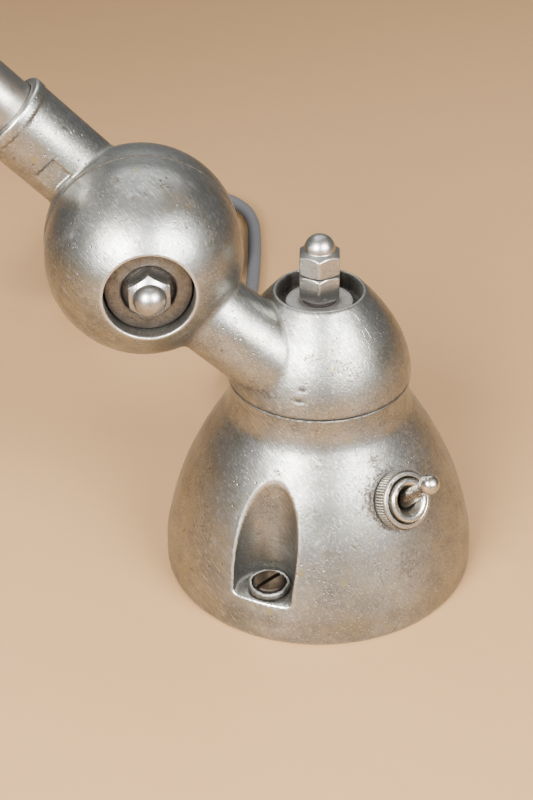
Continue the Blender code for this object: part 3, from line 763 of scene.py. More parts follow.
@dataclass(frozen=True)
class SpunMetal(Finish):
    """Spun sheet with rings left by the forming tool, about a vertical axis."""

    axis: tuple[float, float] = (0.0, 0.0)
    light: Colour = (0.66, 0.655, 0.64)
    dull: Colour = (0.53, 0.52, 0.50)
    roughness: float = 0.34

    def make(self, recipe: Recipe) -> bpy.types.Material:
        """Adds the nodes of this finish."""
        place = recipe.node("ShaderNodeMapping", {}, {"Vector": recipe.place(),
                                                      "Location": (-self.axis[0] * MM, -self.axis[1] * MM,
                                                                   0.0)})
        parts = {name: recipe.node("ShaderNodeSeparateXYZ", {}, {"Vector": place}, name) for name in "XYZ"}
        flat = recipe.node("ShaderNodeCombineXYZ", {}, {"X": parts["X"], "Y": parts["Y"], "Z": 0.0})
        radius = recipe.node("ShaderNodeVectorMath", {"operation": "LENGTH"}, {0: flat}, "Value")
        ring = recipe.node("ShaderNodeCombineXYZ", {}, {"X": radius, "Y": parts["Z"], "Z": 0.0})
        lines = recipe.node("ShaderNodeTexNoise", {}, {"Vector": ring, "Scale": 1100.0, "Detail": 3.0})
        clouds = recipe.noise(22.0, 5.0)
        smears = recipe.noise(5.0, 4.0, turn=(0.3, 0.2, 0.6)).above(0.55, 0.72)
        specks = recipe.specks(5.0, 0.14) * recipe.noise(20.0, 2.0).above(0.5, 0.65)
        colour = recipe.mix(clouds.above(0.35, 0.68), self.light, self.dull)
        colour = recipe.mix(smears * 0.3, colour, (0.42, 0.38, 0.32))
        colour = recipe.mix(specks * 0.6, colour, (0.16, 0.12, 0.09))
        # Darker where the mesh's mask marks dirt and painted shade, round the collar's foot.
        colour = recipe.mix((recipe.mask("grime") * 0.85).clamped(), colour, (0.10, 0.085, 0.07))
        colour = recipe.mix((recipe.mask("wear") * 0.8).clamped(), colour, (0.82, 0.81, 0.79))
        rough = self.roughness + 0.12 * (clouds - 0.5) + 0.12 * (lines - 0.5)
        return recipe.dress(colour, rough.clamped(), 0.6 * lines + 0.4 * recipe.noise(1.5, 3.0), 0.05,
                            Metallic=1.0)


@dataclass(frozen=True)
class PaleFloor(Finish):
    """A plain pale table top."""

    light: Colour = (0.290, 0.168, 0.070)
    dull: Colour = (0.262, 0.148, 0.060)

    def make(self, recipe: Recipe) -> bpy.types.Material:
        """Adds the nodes of this finish."""
        grain = recipe.noise(9.0, 5.0, (1.0, 8.0, 1.0), (0.0, 0.0, 0.9), 0.6)
        fine = recipe.noise(0.9, 3.0, (1.0, 5.0, 1.0), (0.0, 0.0, 0.9))
        colour = recipe.mix(0.6 * grain + 0.4 * fine, self.light, self.dull)
        return recipe.dress(colour, 0.62 + 0.1 * (fine - 0.5), fine, 0.03)


CASTING = AgedMetal("aged_cast_aluminium")
NUT_PLATE = PlainMetal("worn_nut_plate", light=(0.41, 0.405, 0.385), dull=(0.27, 0.262, 0.24),
                       rust=(0.10, 0.08, 0.06),
                       roughness=0.33, rust_share=0.35, line_size=0.35, relief=0.05)
NICKEL = PlainMetal("worn_nickel", light=(0.42, 0.395, 0.345), dull=(0.28, 0.255, 0.215),
                    rust=(0.16, 0.11, 0.07),
                    roughness=0.30, rust_share=0.3)
LEVER_NICKEL = PlainMetal("rubbed_lever_nickel", light=(0.36, 0.325, 0.275), dull=(0.23, 0.20, 0.165),
                          roughness=0.27,
                          rust=(0.10, 0.07, 0.045), rust_share=0.4)
TUBE_PLATE = PlainMetal("worn_tube_plate", light=(0.35, 0.335, 0.305), dull=(0.26, 0.24, 0.212),
                        roughness=0.33,
                        rust_share=0.28, rust=(0.20, 0.15, 0.105), line_size=1.2)
DARK_STEEL = PlainMetal("stained_steel", light=(0.165, 0.152, 0.135), dull=(0.080, 0.071, 0.060),
                        roughness=0.42,
                        rust_share=0.75, rust=(0.065, 0.048, 0.035), relief=0.10)
DISC_STEEL = PlainMetal("grey_disc_steel", light=(0.36, 0.35, 0.33), dull=(0.25, 0.235, 0.215),
                        roughness=0.52,
                        speck_size=0.8, rust_share=0.6, rust=(0.15, 0.125, 0.10), relief=0.07)
RUSTY_STEEL = PlainMetal("rusty_screw_steel", light=(0.050, 0.037, 0.026), dull=(0.025, 0.018, 0.012),
                         roughness=0.40,
                         rust_share=0.8, rust=(0.07, 0.035, 0.018), relief=0.06)
BRASS = PlainMetal("dull_brass", light=(0.60, 0.46, 0.24), dull=(0.45, 0.33, 0.16), roughness=0.32,
                   rust_share=0.2)
IRON = AgedMetal("black_cast_iron", light=(0.11, 0.11, 0.12), dull=(0.07, 0.07, 0.075),
                 tarnish=(0.10, 0.065, 0.045),
                 spot=(0.09, 0.08, 0.07), grime=(0.02, 0.018, 0.016), worn=(0.22, 0.22, 0.22),
                 roughness=0.62, relief=0.25)
SHEATH = Moulded("cord_sheath", light=(0.007, 0.0073, 0.008), dull=(0.0045, 0.0047, 0.005),
                 dust=(0.02, 0.02, 0.02),
                 dust_share=0.06, roughness=0.62, specular=0.10)
RUBBER = Moulded("moulded_rubber", light=(0.032, 0.032, 0.034), dull=(0.022, 0.022, 0.023), roughness=0.50)
BAKELITE = Moulded("dark_bakelite", light=(0.055, 0.034, 0.026), dull=(0.036, 0.022, 0.018), roughness=0.24,
                   coat=0.4)
FIBRE = Moulded("pressed_fibre", light=(0.19, 0.115, 0.075), dull=(0.13, 0.08, 0.05), roughness=0.8,
                relief=0.08)
FELT = Felt("base_felt")
OPAL = Moulded("opal_glass", light=(0.90, 0.89, 0.85), dull=(0.86, 0.85, 0.80), dust=(0.70, 0.66, 0.60),
               dust_share=0.15, roughness=0.16, relief=0.004, coat=0.5)


# Sub-assemblies


@dataclass
class Studio:
    """The camera, the lights and the floor."""

    camera_at: tuple[float, float, float] = (-59.2, -381.7, 308.9)
    heading: float = 6.57
    pitch: float = 33.5
    roll: float = 0.904
    lens: float = 72.0
    lights: tuple = (
        ("left_softbox", (-440.0, -560.0, 560.0), 400.0, 38.0, (1.0, 0.985, 0.96)),
        ("right_softbox", (400.0, -600.0, 560.0), 460.0, 31.0, (1.0, 0.99, 0.97)),
        ("top_softbox", (60.0, 420.0, 980.0), 900.0, 8.0, (0.97, 0.985, 1.0)),
    )

    def build(self) -> None:
        """Makes the camera, lights, sky and floor."""
        self.place_camera()
        for name, spot, size, power, colour in self.lights:
            self.place_light(name, spot, size, power, colour)
        world = bpy.data.worlds.new("studio_air")
        world.use_nodes = True
        sky = world.node_tree.nodes["Background"].inputs
        sky["Color"].default_value = (0.80, 0.82, 0.84, 1.0)
        sky["Strength"].default_value = 0.27
        bpy.context.scene.world = world
        self.lay_floor()

    def place_camera(self) -> None:
        """Sets the camera from its heading, pitch and roll."""
        turn, dip, tip = (math.radians(a) for a in (self.heading, self.pitch, self.roll))
        ahead = Vector((math.sin(turn) * math.cos(dip), math.cos(turn) * math.cos(dip), -math.sin(dip)))
        level = Vector((math.cos(turn), -math.sin(turn), 0.0))
        down = ahead.cross(level)
        right = level * math.cos(tip) + down * math.sin(tip)
        below = down * math.cos(tip) - level * math.sin(tip)
        matrix = Matrix((right, -below, -ahead)).transposed().to_4x4()
        matrix.translation = Vector(self.camera_at) * MM
        camera = bpy.data.objects.new("camera", bpy.data.cameras.new("camera"))
        camera.data.lens = self.lens
        camera.data.clip_start = 0.01
        camera.matrix_world = matrix
        bpy.context.scene.collection.objects.link(camera)
        bpy.context.scene.camera = camera

    def place_light(self, name: str, spot: tuple, size: float, power: float, colour: Colour) -> None:
        """One square softbox that faces the lamp's head."""
        data = bpy.data.lights.new(name, "AREA")
        data.size = size * MM
        data.energy = power
        data.color = colour
        light = bpy.data.objects.new(name, data)
        light.location = Vector(spot) * MM
        light.rotation_euler = (Vector((-20.0, 0.0, 70.0)) - Vector(spot)).to_track_quat("-Z", "Y").to_euler()
        bpy.context.scene.collection.objects.link(light)

    def lay_floor(self) -> None:
        """A wide, flat table top under the lamp."""
        mesh = bpy.data.meshes.new("table_top")
        mesh.from_pydata([(-3.0, -3.0, -0.0002), (3.0, -3.0, -0.0002), (3.0, 3.0, -0.0002),
                          (-3.0, 3.0, -0.0002)], [],
                         [(0, 1, 2, 3)])
        mesh.materials.append(PaleFloor("pale_table_top").material())
        floor = bpy.data.objects.new("table_top", mesh)
        bpy.context.scene.collection.objects.link(floor)


@dataclass
class MainsCord:
    """The mains lead, its strain relief, the tie round its coil and its plug."""

    radius: float = 2.6
    coil_centre: tuple[float, float] = (-41.5, 182.0)
    coil_radius: float = 29.6
    pitch: float = 5.25
    first_height: float = 2.7
    change: float = 110.0  # degrees over which the lead moves to the next turn
    start: float = 150.0
    columns: tuple = ((400, -1), (760, -1), (1360, 1), (1720, 1), (2320, -1), (2680, -1))
    levels: tuple = ((1060, 1), (2020, 1), (2750, 1))
    tail_start: float = 2960.0
    tail_shift: float = -0.35
    end: float = 3060.0
    plug_height: float = 22.8
    exit_azimuth: float = 101.0
    exit_height: float = 10.0
    gland_tip: float = 69.9
    route: tuple = ((-14.9, 77.0, 9.2), (-15.6, 87.0, 5.9), (-14.8, 98.5, 3.2), (-12.4, 111.0, 2.7),
                    (-8.4, 128.0, 2.7), (-4.6, 145.0, 2.7), (-1.6, 160.0, 2.7), (1.4, 179.0, 2.7),
                    (3.6, 197.0, 2.7),
                    (4.6, 211.0, 2.7), (2.6, 224.0, 2.7), (-4.2, 235.0, 2.7), (-15.5, 242.0, 2.7),
                    (-28.5, 243.5, 2.7), (-41.5, 240.0, 2.7), (-53.0, 232.5, 2.7), (-62.0, 221.5, 2.7))

    def coil(self, degrees: Array) -> Array:
        """The coil at each angle: r or z changes by one pitch, as a smooth step, between turns."""
        column = 1.0 + sum(way * wave_step((degrees - at) / self.change) for at, way in self.columns)
        level = sum(way * wave_step((degrees - at) / self.change) for at, way in self.levels)
        lift = wave_step((degrees - self.tail_start) / (self.end - self.tail_start))
        radius = self.coil_radius + self.pitch * (column + self.tail_shift * lift)
        rise = (self.plug_height - self.first_height - 3 * self.pitch) * lift
        angle = np.radians(degrees)
        x = self.coil_centre[0] + radius * np.cos(angle)
        y = self.coil_centre[1] + radius * np.sin(angle)
        return np.stack([x, y, self.first_height + self.pitch * level + rise], -1)

    def path(self) -> Array:
        """The centreline: out of the strain relief, over the table, round the coil and up to the plug."""
        azimuth = math.radians(self.exit_azimuth)
        out = [math.cos(azimuth) * self.gland_tip, math.sin(azimuth) * self.gland_tip, self.exit_height]
        into = self.coil(np.array([self.start, self.start + 14.0]))
        free = flowing([tuple(out), *self.route, *map(tuple, into)], 420)
        winding = self.coil(np.arange(self.start + 14.0, self.end, 3.0))
        line = np.concatenate([free[:-1], winding, self.coil(np.array([self.end]))])
        lengths = np.concatenate([[0.0], np.cumsum(np.linalg.norm(np.diff(line, axis=0), axis=1))])
        at = np.linspace(0, lengths[-1], 1100)
        line = np.stack([np.interp(at, lengths, line[:, i]) for i in range(3)], -1)
        for _ in range(6):
            line[1:-1] = (line[:-2] + 2 * line[1:-1] + line[2:]) / 4
        return line

    def tube(self, line: Array) -> Surface:
        """A round sheath on the path: p(u, v) = c(v) + R (side cos u + up sin u), with closed ends."""
        ahead = unit(np.gradient(line, axis=0))
        side = unit(np.cross(ahead, [0.0, 0.0, 1.0]))
        up = np.cross(side, ahead)
        u = np.arange(20) * FULL_TURN / 20
        ring = side[:, None] * np.cos(u)[None, :, None] + up[:, None] * np.sin(u)[None, :, None]
        grid = line[:, None] + self.radius * ring
        caps = [np.repeat(line[[end]][:, None], 20, 1) for end in (0, -1)]
        return grid_surface(np.concatenate([caps[0], grid, caps[1]])[::-1], closed=False)

    def build(self) -> None:
        """Makes the lead and the pieces on it."""
        line = self.path()
        lead = self.tube(line).piece("mains_lead", Body.BASE, SHEATH, "cord_sheath",
                                     ["mains_cord", "cord_coil", "cord_tail"])
        relief = self.strain_relief()
        plug = self.plug()
        tie = self.tie()
        length = np.linalg.norm(np.diff(line, axis=0), axis=1).sum()
        LOG.info("the lead's path is %.0f mm long", length)
        2 * self.radius * MM

    def strain_relief(self) -> bpy.types.Object:
        """A tapered rubber sleeve with slots cut round it, in the base's back."""
        tip = self.gland_tip + 0.1
        shape = [(0.0, tip), (3.2, tip), (3.5, tip - 0.4)]
        for start in np.arange(tip - 2.6, 51.0, -3.2):
            wide = 3.5 + 1.9 * (tip - start) / (tip - 47.0)
            shape += [(wide, start), (wide - 0.7, start - 0.25), (wide - 0.7, start - 1.25),
                      (wide + 0.12, start - 1.5)]
        shape += [(5.5, 47.6), (6.6, 47.5), (6.6, 46.2), (4.6, 46.2), (4.6, 38.6), (6.0, 38.6), (6.0, 36.4),
                  (0.0, 36.4)]
        place = around("Z", self.exit_azimuth) @ shift(0, 0, self.exit_height) @ around("Y", 90)
        surface = lathe(spaced(rounded(shape, 0.3), 0.8), 48).placed(place)
        return surface.piece("strain_relief", Body.BASE, RUBBER, "black_rubber", ["cord_gland"])

    def plug_distance(self, points: Array) -> Array:
        """A rounded block with grip grooves, a tapered nose and two pin holes, about the plug's axis Z."""
        x, y, z = points.T
        corner = 3.6
        half = np.array([13.0, 6.8, 12.0]) - corner
        away = np.abs(np.stack([x, y, z - 24.0], -1)) - half
        body = np.linalg.norm(np.maximum(away, 0), axis=1) + np.minimum(away.max(1), 0) - corner
        waist = 13.0 - 1.6 * hump(z - 21.0, 6.0) - np.abs(x)
        body = smooth_max(body, -waist, 1.0)
        radius = np.interp(z, [0.0, 15.0, 20.0], [3.5, 6.2, 7.4])
        nose = smooth_max(np.hypot(x, y * 1.06) - radius, np.maximum(-z, z - 20.0), 0.8)
        shape = smooth_min(body, nose, 3.0)
        groove = np.abs((z - 22.0 + 1.1) % 2.2 - 1.1) - 0.45
        grooves = np.maximum(np.maximum(groove, np.abs(z - 22.0) - 6.0),
                             np.maximum(11.1 - np.abs(x), np.abs(y) - 4.2))
        shape = smooth_max(shape, -grooves, 0.4)
        slots = np.abs((z - 9.0 + 1.6) % 3.2 - 1.6) - 0.5
        slots = np.maximum(np.maximum(slots, np.abs(z - 8.0) - 6.0),
                           np.interp(z, [0.0, 15.0], [2.9, 5.4]) - np.hypot(x, y))
        shape = smooth_max(shape, -np.maximum(slots, np.abs(y) - 40.0), 0.4)
        pins = np.maximum(np.hypot(np.abs(x) - 9.5, y) - 2.35, 28.0 - z)
        return smooth_max(shape, -pins, 0.3)

    def plug(self) -> bpy.types.Object:
        """The moulded two-pin plug that lies on the coil."""
        low, high = (-14.0, -8.0, -1.0), (14.0, 8.0, 37.0)
        place = shift(self.coil_centre[0] - 22.5, self.coil_centre[1] - 0.9, self.plug_height) @ around(
            "X", 90)
        surface = contour(self.plug_distance, low, high, 0.42).placed(place)
        return surface.piece("plug_moulding", Body.BASE, RUBBER, "black_rubber", ["plug_body"])

    def tie(self) -> bpy.types.Object:
        """A flat strap round the coil's section, with its free end lying on top."""
        inner, outer, top = 21.1, 38.1, 16.4
        loop = rounded([(inner, top), (outer, top), (outer, 0.15), (inner, 0.15)], 3.4, closed=True, steps=10)
        v = np.linspace(-1, 1, 9)
        shell = np.concatenate([loop, loop[:1]])
        middle = shell.mean(0)
        thick = shell + unit(shell - middle) * 0.7
        thick[:, 1] = np.maximum(thick[:, 1], 0.05)
        spread = np.radians(232.0 + 7.5 * v)
        def sheet(edge: Array) -> Array:
            """Rows across the strap: (c + r cos a, c + r sin a, h)."""
            r, h = edge[:, None, 0], edge[:, None, 1]
            a = spread[None, :]
            return np.stack([self.coil_centre[0] + r * np.cos(a), self.coil_centre[1] + r * np.sin(a),
                             np.broadcast_to(h, r.shape[:1] + a.shape[1:])], -1)
        band = np.concatenate([sheet(thick), sheet(shell)[:, ::-1]], 1)[:-1]
        surface = grid_surface(band, closed=True)
        return surface.piece("coil_tie", Body.BASE, RUBBER, "black_rubber")


@dataclass
class Base:
    """The bell, its screws, felt and hidden ballast."""

    radius: float = 46.0
    top: float = 63.3
    wall: float = 4.0
    profile: Outline = ((46.0, -2.0), (46.0, 0.0), (46.0, 4.0), (45.6, 10.0), (43.2, 20.0), (39.8, 30.0),
                        (35.0, 40.0), (31.5, 46.0), (29.0, 50.0), (26.8, 54.0), (25.8, 58.5), (26.0, 63.3),
                        (26.2, 66.0))
    pocket_azimuth: float = -120.0
    pocket_centre: float = 41.0
    pocket_radius: float = 9.2
    pocket_floor: float = 12.5
    screw_centre: float = 38.2
    marks: tuple[Mark, ...] = (
        Mark(-98.5, 29.5, 1.3, 3.8, Trace.GRIME, 0.50),
        Mark(-67.0, 49.5, 2.0, 2.2, Trace.STAIN, 1.0),
        Mark(-150.0, 27.0, 6.0, 10.0, Trace.STAIN, 0.62),
        Mark(-62.0, 21.0, 6.0, 6.5, Trace.STAIN, 0.80),
        Mark(-36.0, 46.0, 5.0, 7.0, Trace.STAIN, 0.62),
        Mark(-48.0, 30.0, 8.0, 12.0, Trace.STAIN, 0.50),
        Mark(-77.0, 41.0, 4.0, 6.0, Trace.STAIN, 0.55),
        Mark(-120.0, 47.5, 1.3, 1.1, Trace.STAIN, 0.95),
        Mark(-91.0, 17.5, 4.5, 3.5, Trace.STAIN, 0.58),
        Mark(-130.0, 7.0, 4.0, 2.2, Trace.STAIN, 0.60),
        Mark(-134.5, 31.0, 1.0, 7.0, Trace.GRIME, 0.75),
        Mark(-104.0, 21.5, 1.8, 0.45, Trace.GRIME, 0.60),
        Mark(-103.5, 26.0, 1.5, 0.40, Trace.GRIME, 0.45),
        Mark(20.0, 24.0, 7.0, 5.0, Trace.STAIN, 0.60),
        Mark(95.0, 33.0, 9.0, 7.0, Trace.STAIN, 0.60),
        Mark(160.0, 12.0, 8.0, 5.0, Trace.STAIN, 0.60),
    )

    def __post_init__(self) -> None:
        """Works out the smooth outline once."""
        curve = flowing([(h, r) for r, h in self.profile], 400)
        self.heights, self.radii = curve[:, 0], curve[:, 1]
        self.tilt = np.cos(np.arctan(np.gradient(self.radii, self.heights)))

    def pocket_place(self, turn: float) -> Array:
        """The frame on a pocket's vertical axis."""
        return around("Z", self.pocket_azimuth + turn) @ shift(self.pocket_centre, 0, 0)

    def outer(self, points: Array) -> Array:
        """Distance from the bell's outline: (rho - R(z)) cos(slope)."""
        rho = np.hypot(points[:, 0], points[:, 1])
        z = points[:, 2]
        return (rho - np.interp(z, self.heights, self.radii)) * np.interp(z, self.heights, self.tilt)

    def pocket(self, points: Array, turn: float) -> Array:
        """Distance from one pocket: an upright cylinder from its floor up."""
        local = to_local(points, self.pocket_place(turn))
        side = np.hypot(local[:, 0], local[:, 1]) - self.pocket_radius
        return smooth_max(side, self.pocket_floor - local[:, 2], 1.4)

    def distance(self, points: Array) -> Array:
        """The bell: its outline, less the inside, the pockets, the switch's seat and the lead's hole."""
        z = points[:, 2]
        rho = np.hypot(points[:, 0], points[:, 1])
        skin = self.outer(points)
        solid = smooth_max(smooth_max(skin, z - self.top, 0.25), -z, 1.0)
        inside = np.maximum(skin + self.wall, z - self.top + self.wall + 1.0)
        for turn in (0.0, 180.0):
            local = to_local(points, self.pocket_place(turn))
            boss = np.hypot(local[:, 0], local[:, 1]) - self.pocket_radius - 3.0
            inside = smooth_max(inside, -np.maximum(boss, 3.9 - z), 1.5)
        inside = np.minimum(inside, np.maximum(rho - 43.0, z - 3.9))
        solid = np.maximum(solid, -inside)
        for turn in (0.0, 180.0):
            solid = smooth_max(solid, -self.pocket(points, turn), 0.55)
            local = to_local(points, around("Z", self.pocket_azimuth + turn) @ shift(self.screw_centre, 0, 0))
            solid = np.maximum(solid, 2.6 - np.hypot(local[:, 0], local[:, 1]))
        seat = to_local(points, Switch().place())
        spot = np.hypot(seat[:, 0], seat[:, 1])
        solid = smooth_max(solid, -np.maximum(spot - 8.9, -0.4 - seat[:, 2]), 0.5)
        solid = np.maximum(solid, -np.maximum(spot - 6.5, np.abs(seat[:, 2]) - 10.0))
        lead = to_local(points, around("Z", 101.0) @ shift(0, 0, 10.0))
        solid = np.maximum(solid, -np.maximum(np.hypot(lead[:, 1], lead[:, 2]) - 5.0, 36.0 - lead[:, 0]))
        solid = np.maximum(solid, -np.maximum(rho - 3.8, 50.0 - z))
        return solid

    def masks(self, points: Array) -> dict[str, Array]:
        """Painted contact shadow at the foot, painted shade in the seam, the pockets and round the switch's
        seat, and bright pocket edges.
        """
        z = points[:, 2]
        skin = self.outer(points)
        near_skin = hump(skin, 0.9)
        wear = np.zeros(len(points))
        # Painted shade in the seam under the dome, and a painted contact shadow along the foot.
        grime = 1.0 * hump(z - self.top, 0.45) + 0.8 * hump(z, 0.8)
        for turn in (0.0, 180.0):
            hole = self.pocket(points, turn)
            wear += 0.8 * hump(hole - 0.05, 0.34) * hump(skin, 0.42)
            # Painted shade deep in each pocket, strongest at its floor.
            deep = smooth_step((-skin - 1.0) / 3.0) * (np.abs(hole) < 1.2)
            low = hump(z - self.pocket_floor, 2.6)
            grime += deep * (0.10 + 0.62 * low)
        seat = to_local(points, Switch().place())
        spot = np.hypot(seat[:, 0], seat[:, 1])
        # Painted shade in the groove round the switch's seat.
        grime += 0.75 * hump(spot - 8.9, 0.5) * (np.abs(seat[:, 2]) < 3)
        stain = 0.5 * hump(spot - 9.6, 1.3) * near_skin
        wear += 0.35 * hump(z - 0.4, 0.3)
        return marked({"wear": wear, "grime": grime, "stain": stain}, points, self.marks)

    def build(self, nodes: dict[str, bpy.types.Object]) -> None:
        """Makes the bell, screws and felt, and dresses the parts inside."""
        reach = self.radius + 0.5
        bell = contour(self.distance, (-reach, -reach, -0.5), (reach, reach, self.top + 0.5), 0.73)
        bell.masks = self.masks(bell.points)
        bell.piece("bell", Body.BASE, CASTING, "cast_aluminium", ["base_bell"])
        for name, turn in (("front", 0.0), ("rear", 180.0)):
            self.build_screw(name, turn)
        self.build_felt()
        for node, finish in (("base_ballast", IRON), ("base_plate", DARK_STEEL)):
            dress_node(nodes[node], finish)

    def screw_distance(self, points: Array) -> Array:
        """A slotted cheese head with a domed face on its shank."""
        x, y, z = points.T
        rho = np.hypot(x, y)
        head = smooth_max(rho - 4.6, np.maximum(z - 15.6 + 0.012 * rho * rho, 12.8 - z), 0.7)
        slot = np.maximum(np.abs(y) - 0.62, 14.1 - z)
        head = smooth_max(head, -slot, 0.25)
        shank = np.maximum(rho - 2.3 - 0.12 * np.abs((z % 0.8) - 0.4) / 0.4, np.maximum(1.7 - z, z - 13.5))
        return np.minimum(head, shank)

    def build_screw(self, name: str, turn: float) -> None:
        """One slotted screw and the crushed cup washer round it."""
        spot = around("Z", self.pocket_azimuth + turn) @ shift(self.screw_centre, 0, 0)
        screw = contour(self.screw_distance, (-5.0, -5.0, 1.5), (5.0, 5.0, 15.9), 0.16)
        x, y, z = screw.points.T
        # Painted shade in the slot and round the head's rim.
        screw.masks = {"grime": np.clip(hump(y, 0.7) * hump(z - 14.1, 0.9) + hump(np.hypot(x, y) - 4.6, 0.3),
                                        0, 1)}
        surface = screw.placed(spot @ around("Z", 35.0 - self.pocket_azimuth - turn))
        surface.piece(f"base_screw_head_{name}", Body.BASE, RUSTY_STEEL, "steel", [f"base_screw_{name}"])
        section = rounded([(4.9, 14.4), (5.3, 14.75), (5.9, 14.4), (6.05, 12.8), (4.9, 12.8)], 0.3,
                          closed=True)
        def crushed(angle: Array, radius: Array, height: Array) -> Array:
            """The cup's lip bent in and out by a tool."""
            lift = smooth_step((height - 13.2) / 1.2)
            return radius + lift * (0.14 * np.sin(3 * angle + 0.6) + 0.08 * np.sin(7 * angle) + 0.05
                                    * np.sin(17 * angle))
        cup = lathe(section, 96, crushed, closed=True)
        height = cup.points[:, 2]
        # The whole cup is painted darker as the shade in its pocket, darkest at its foot.
        cup.masks = {"grime": np.clip(0.45 + hump(height - 12.8, 0.9), 0, 1),
                     "wear": 0.35 * hump(height - 14.75, 0.2)}
        cup.placed(spot).piece(f"screw_cup_{name}", Body.BASE, CASTING, "cast_aluminium",
                               [f"base_screw_cup_{name}"])

    def build_felt(self) -> None:
        """A felt disc with a soft, uneven edge and a slightly woolly face."""
        edge = rounded([(0.0, 1.2), (42.4, 1.2), (42.4, 0.05), (0.0, 0.05)], 0.45)
        def woolly(angle: Array, radius: Array, height: Array) -> Array:
            """The edge cut by hand: r + small waves."""
            return radius + 0.12 * np.sin(23 * angle) * (radius > 40) + 0.08 * np.sin(61 * angle
                                                                                      + 1) * (radius > 40)
        lathe(spaced(edge, 1.6), 220, woolly).piece("base_felt_disc", Body.BASE, FELT, "felt", ["felt_pad"])


@dataclass
class Switch:
    """The toggle switch in the bell's side."""

    azimuth: float = -60.0
    out: float = 35.8
    height: float = 38.5
    tilt: float = 27.0
    lever_tilt: float = 21.0
    lever_lean: float = 7.0
    lever_pivot: float = 2.6
    teeth: int = 64

    def place(self) -> Array:
        """The switch's frame: local Z out of the bell and local Y uphill."""
        spot = around("Z", self.azimuth) @ shift(self.out, 0, self.height)
        turn = around("Z", self.azimuth + 90) @ around("X", 90 - self.tilt)
        place = turn.copy()
        place[:3, 3] = spot[:3, 3]
        return place

    def knurled(self, angle: Array, radius: Array, height: Array) -> Array:
        """Rounded teeth on the ring nut's rim: r - 0.36 (1 - |cos|)."""
        rim = smooth_step((radius - 8.05) / 0.3)
        return radius - 0.32 * rim * (1 - np.abs(np.cos(self.teeth * angle / 2)))

    def threaded(self, angle: Array, radius: Array, height: Array) -> Array:
        """A fine thread on the bushing: r - depth |2 frac(h / pitch - u / turn) - 1|."""
        phase = (height / 0.75 - angle / FULL_TURN) % 1.0
        on = smooth_step((radius - 5.6) / 0.3) * smooth_step((5.0 - height) / 0.3)
        return radius - 0.26 * on * np.abs(2 * phase - 1)

    def build(self, nodes: dict[str, bpy.types.Object]) -> None:
        """Makes the ring nut, the bushing and the lever."""
        place = self.place()
        ring = [(6.5, 4.0), (6.85, 4.4), (7.85, 4.3), (8.1, 3.7), (8.5, 3.45), (8.5, 0.7), (8.2, 0.4),
                (8.2, -0.2),
                (6.38, -0.2), (6.38, 3.7)]
        nut = lathe(self.dense_loop(ring, 0.14, 0.35), self.teeth * 8, self.knurled, closed=True)
        r = np.hypot(nut.points[:, 0], nut.points[:, 1])
        h = nut.points[:, 2]
        groove = hump(r - 8.1, 0.25) * hump(h - 3.6, 0.35)
        # Painted shade at the nut's foot, in the groove and between the teeth.
        nut.masks = {"grime": np.clip(0.8 * hump(h, 0.6) + groove + 0.40 * (r < 8.36) * (r > 8.0)
                                      * (h < 3.6) * (h > 0.7), 0, 1),
                     "wear": np.clip(0.9 * (r > 8.44) + 0.5 * hump(h - 4.4, 0.15), 0, 1)}
        nut.placed(place).piece("knurled_ring_nut", Body.BASE, NICKEL, "nickel_plate", ["switch_ring_nut"])
        shape = [(0.0, -3.5), (2.7, -3.5), (2.9, 3.4), (3.5, 4.2), (4.3, 5.3), (4.9, 5.6), (5.8, 5.6),
                 (6.2, 5.1),
                 (6.2, -9.0), (0.0, -9.0)]
        bushing = lathe(spaced(rounded(shape, 0.3), 0.22), 128, self.threaded)
        r = np.hypot(bushing.points[:, 0], bushing.points[:, 1])
        h = bushing.points[:, 2]
        # Painted shade in the bore and round the bushing's foot.
        bushing.masks = {"grime": np.clip(1.2 * (r < 3.3) * (h < 4.0) + 0.35 * (r > 5.7) * (h < 5.0), 0, 1),
                         "wear": 0.6 * hump(h - 5.6, 0.2)}
        bushing.placed(place).piece("switch_bushing", Body.BASE, NICKEL, "bakelite")
        housing = contour(self.housing, (-7.0, -11.5, -24.5), (7.0, 11.5, -7.5), 0.6).placed(place)
        housing.piece("switch_housing", Body.BASE, BAKELITE, "bakelite", ["switch_body"])
        dress_node(nodes["switch_back_nut"], NICKEL)
        lever = [(0.0, 20.9), (1.0, 20.75), (1.9, 20.2), (2.55, 19.2), (2.8, 18.0), (2.6, 16.7), (2.2, 15.6),
                 (1.95, 14.6), (1.9, 13.2), (2.0, 10.0), (2.15, 4.0), (2.2, 2.0), (2.35, 0.4), (2.2, -1.2),
                 (1.4, -2.2), (0.0, -2.45)]
        toggle = lathe(flowing(lever, 90) * [1, 1], 48)
        # Painted shade at the lever's root, where it goes into the bushing.
        toggle.masks = {"grime": 0.9 * hump(toggle.points[:, 2], 1.6),
                        "wear": 0.5 * hump(toggle.points[:, 2] - 19.5, 1.2)}
        turn = around("X", -self.lever_tilt) @ around("Y", -self.lever_lean)
        toggle = toggle.placed(place @ shift(0, 0, self.lever_pivot) @ turn)
        toggle.piece("toggle_lever", Body.LEVER, LEVER_NICKEL, "nickel_plate", ["switch_lever"])

    def dense_loop(self, outline: Outline, corner: float, gap: float) -> Array:
        """A ring's outline with soft corners and short steps, open at its last point."""
        loop = rounded(outline, corner, closed=True)
        return spaced(np.concatenate([loop, loop[:1]]), gap)[:-1]

    def housing(self, points: Array) -> Array:
        """The switch's case: a block with rounded edges and two terminal posts."""
        x, y, z = points.T
        away = np.abs(np.stack([x, y, z + 15.9], -1)) - np.array([5.7, 10.2, 7.1])
        block = np.linalg.norm(np.maximum(away, 0), axis=1) + np.minimum(away.max(1), 0) - 0.8
        posts = np.maximum(np.hypot(x, np.abs(y) - 5.5) - 1.6, np.abs(z + 23.0) - 1.2)
        return np.minimum(block, posts)


def dress_node(node: bpy.types.Object, finish: Finish) -> None:
    """Gives a CAD node one of the lamp's finishes."""
    node.data.materials.clear()
    node.data.materials.append(finish.material())
    LOG.info("%s: CAD node, %s", node.name, finish.name)


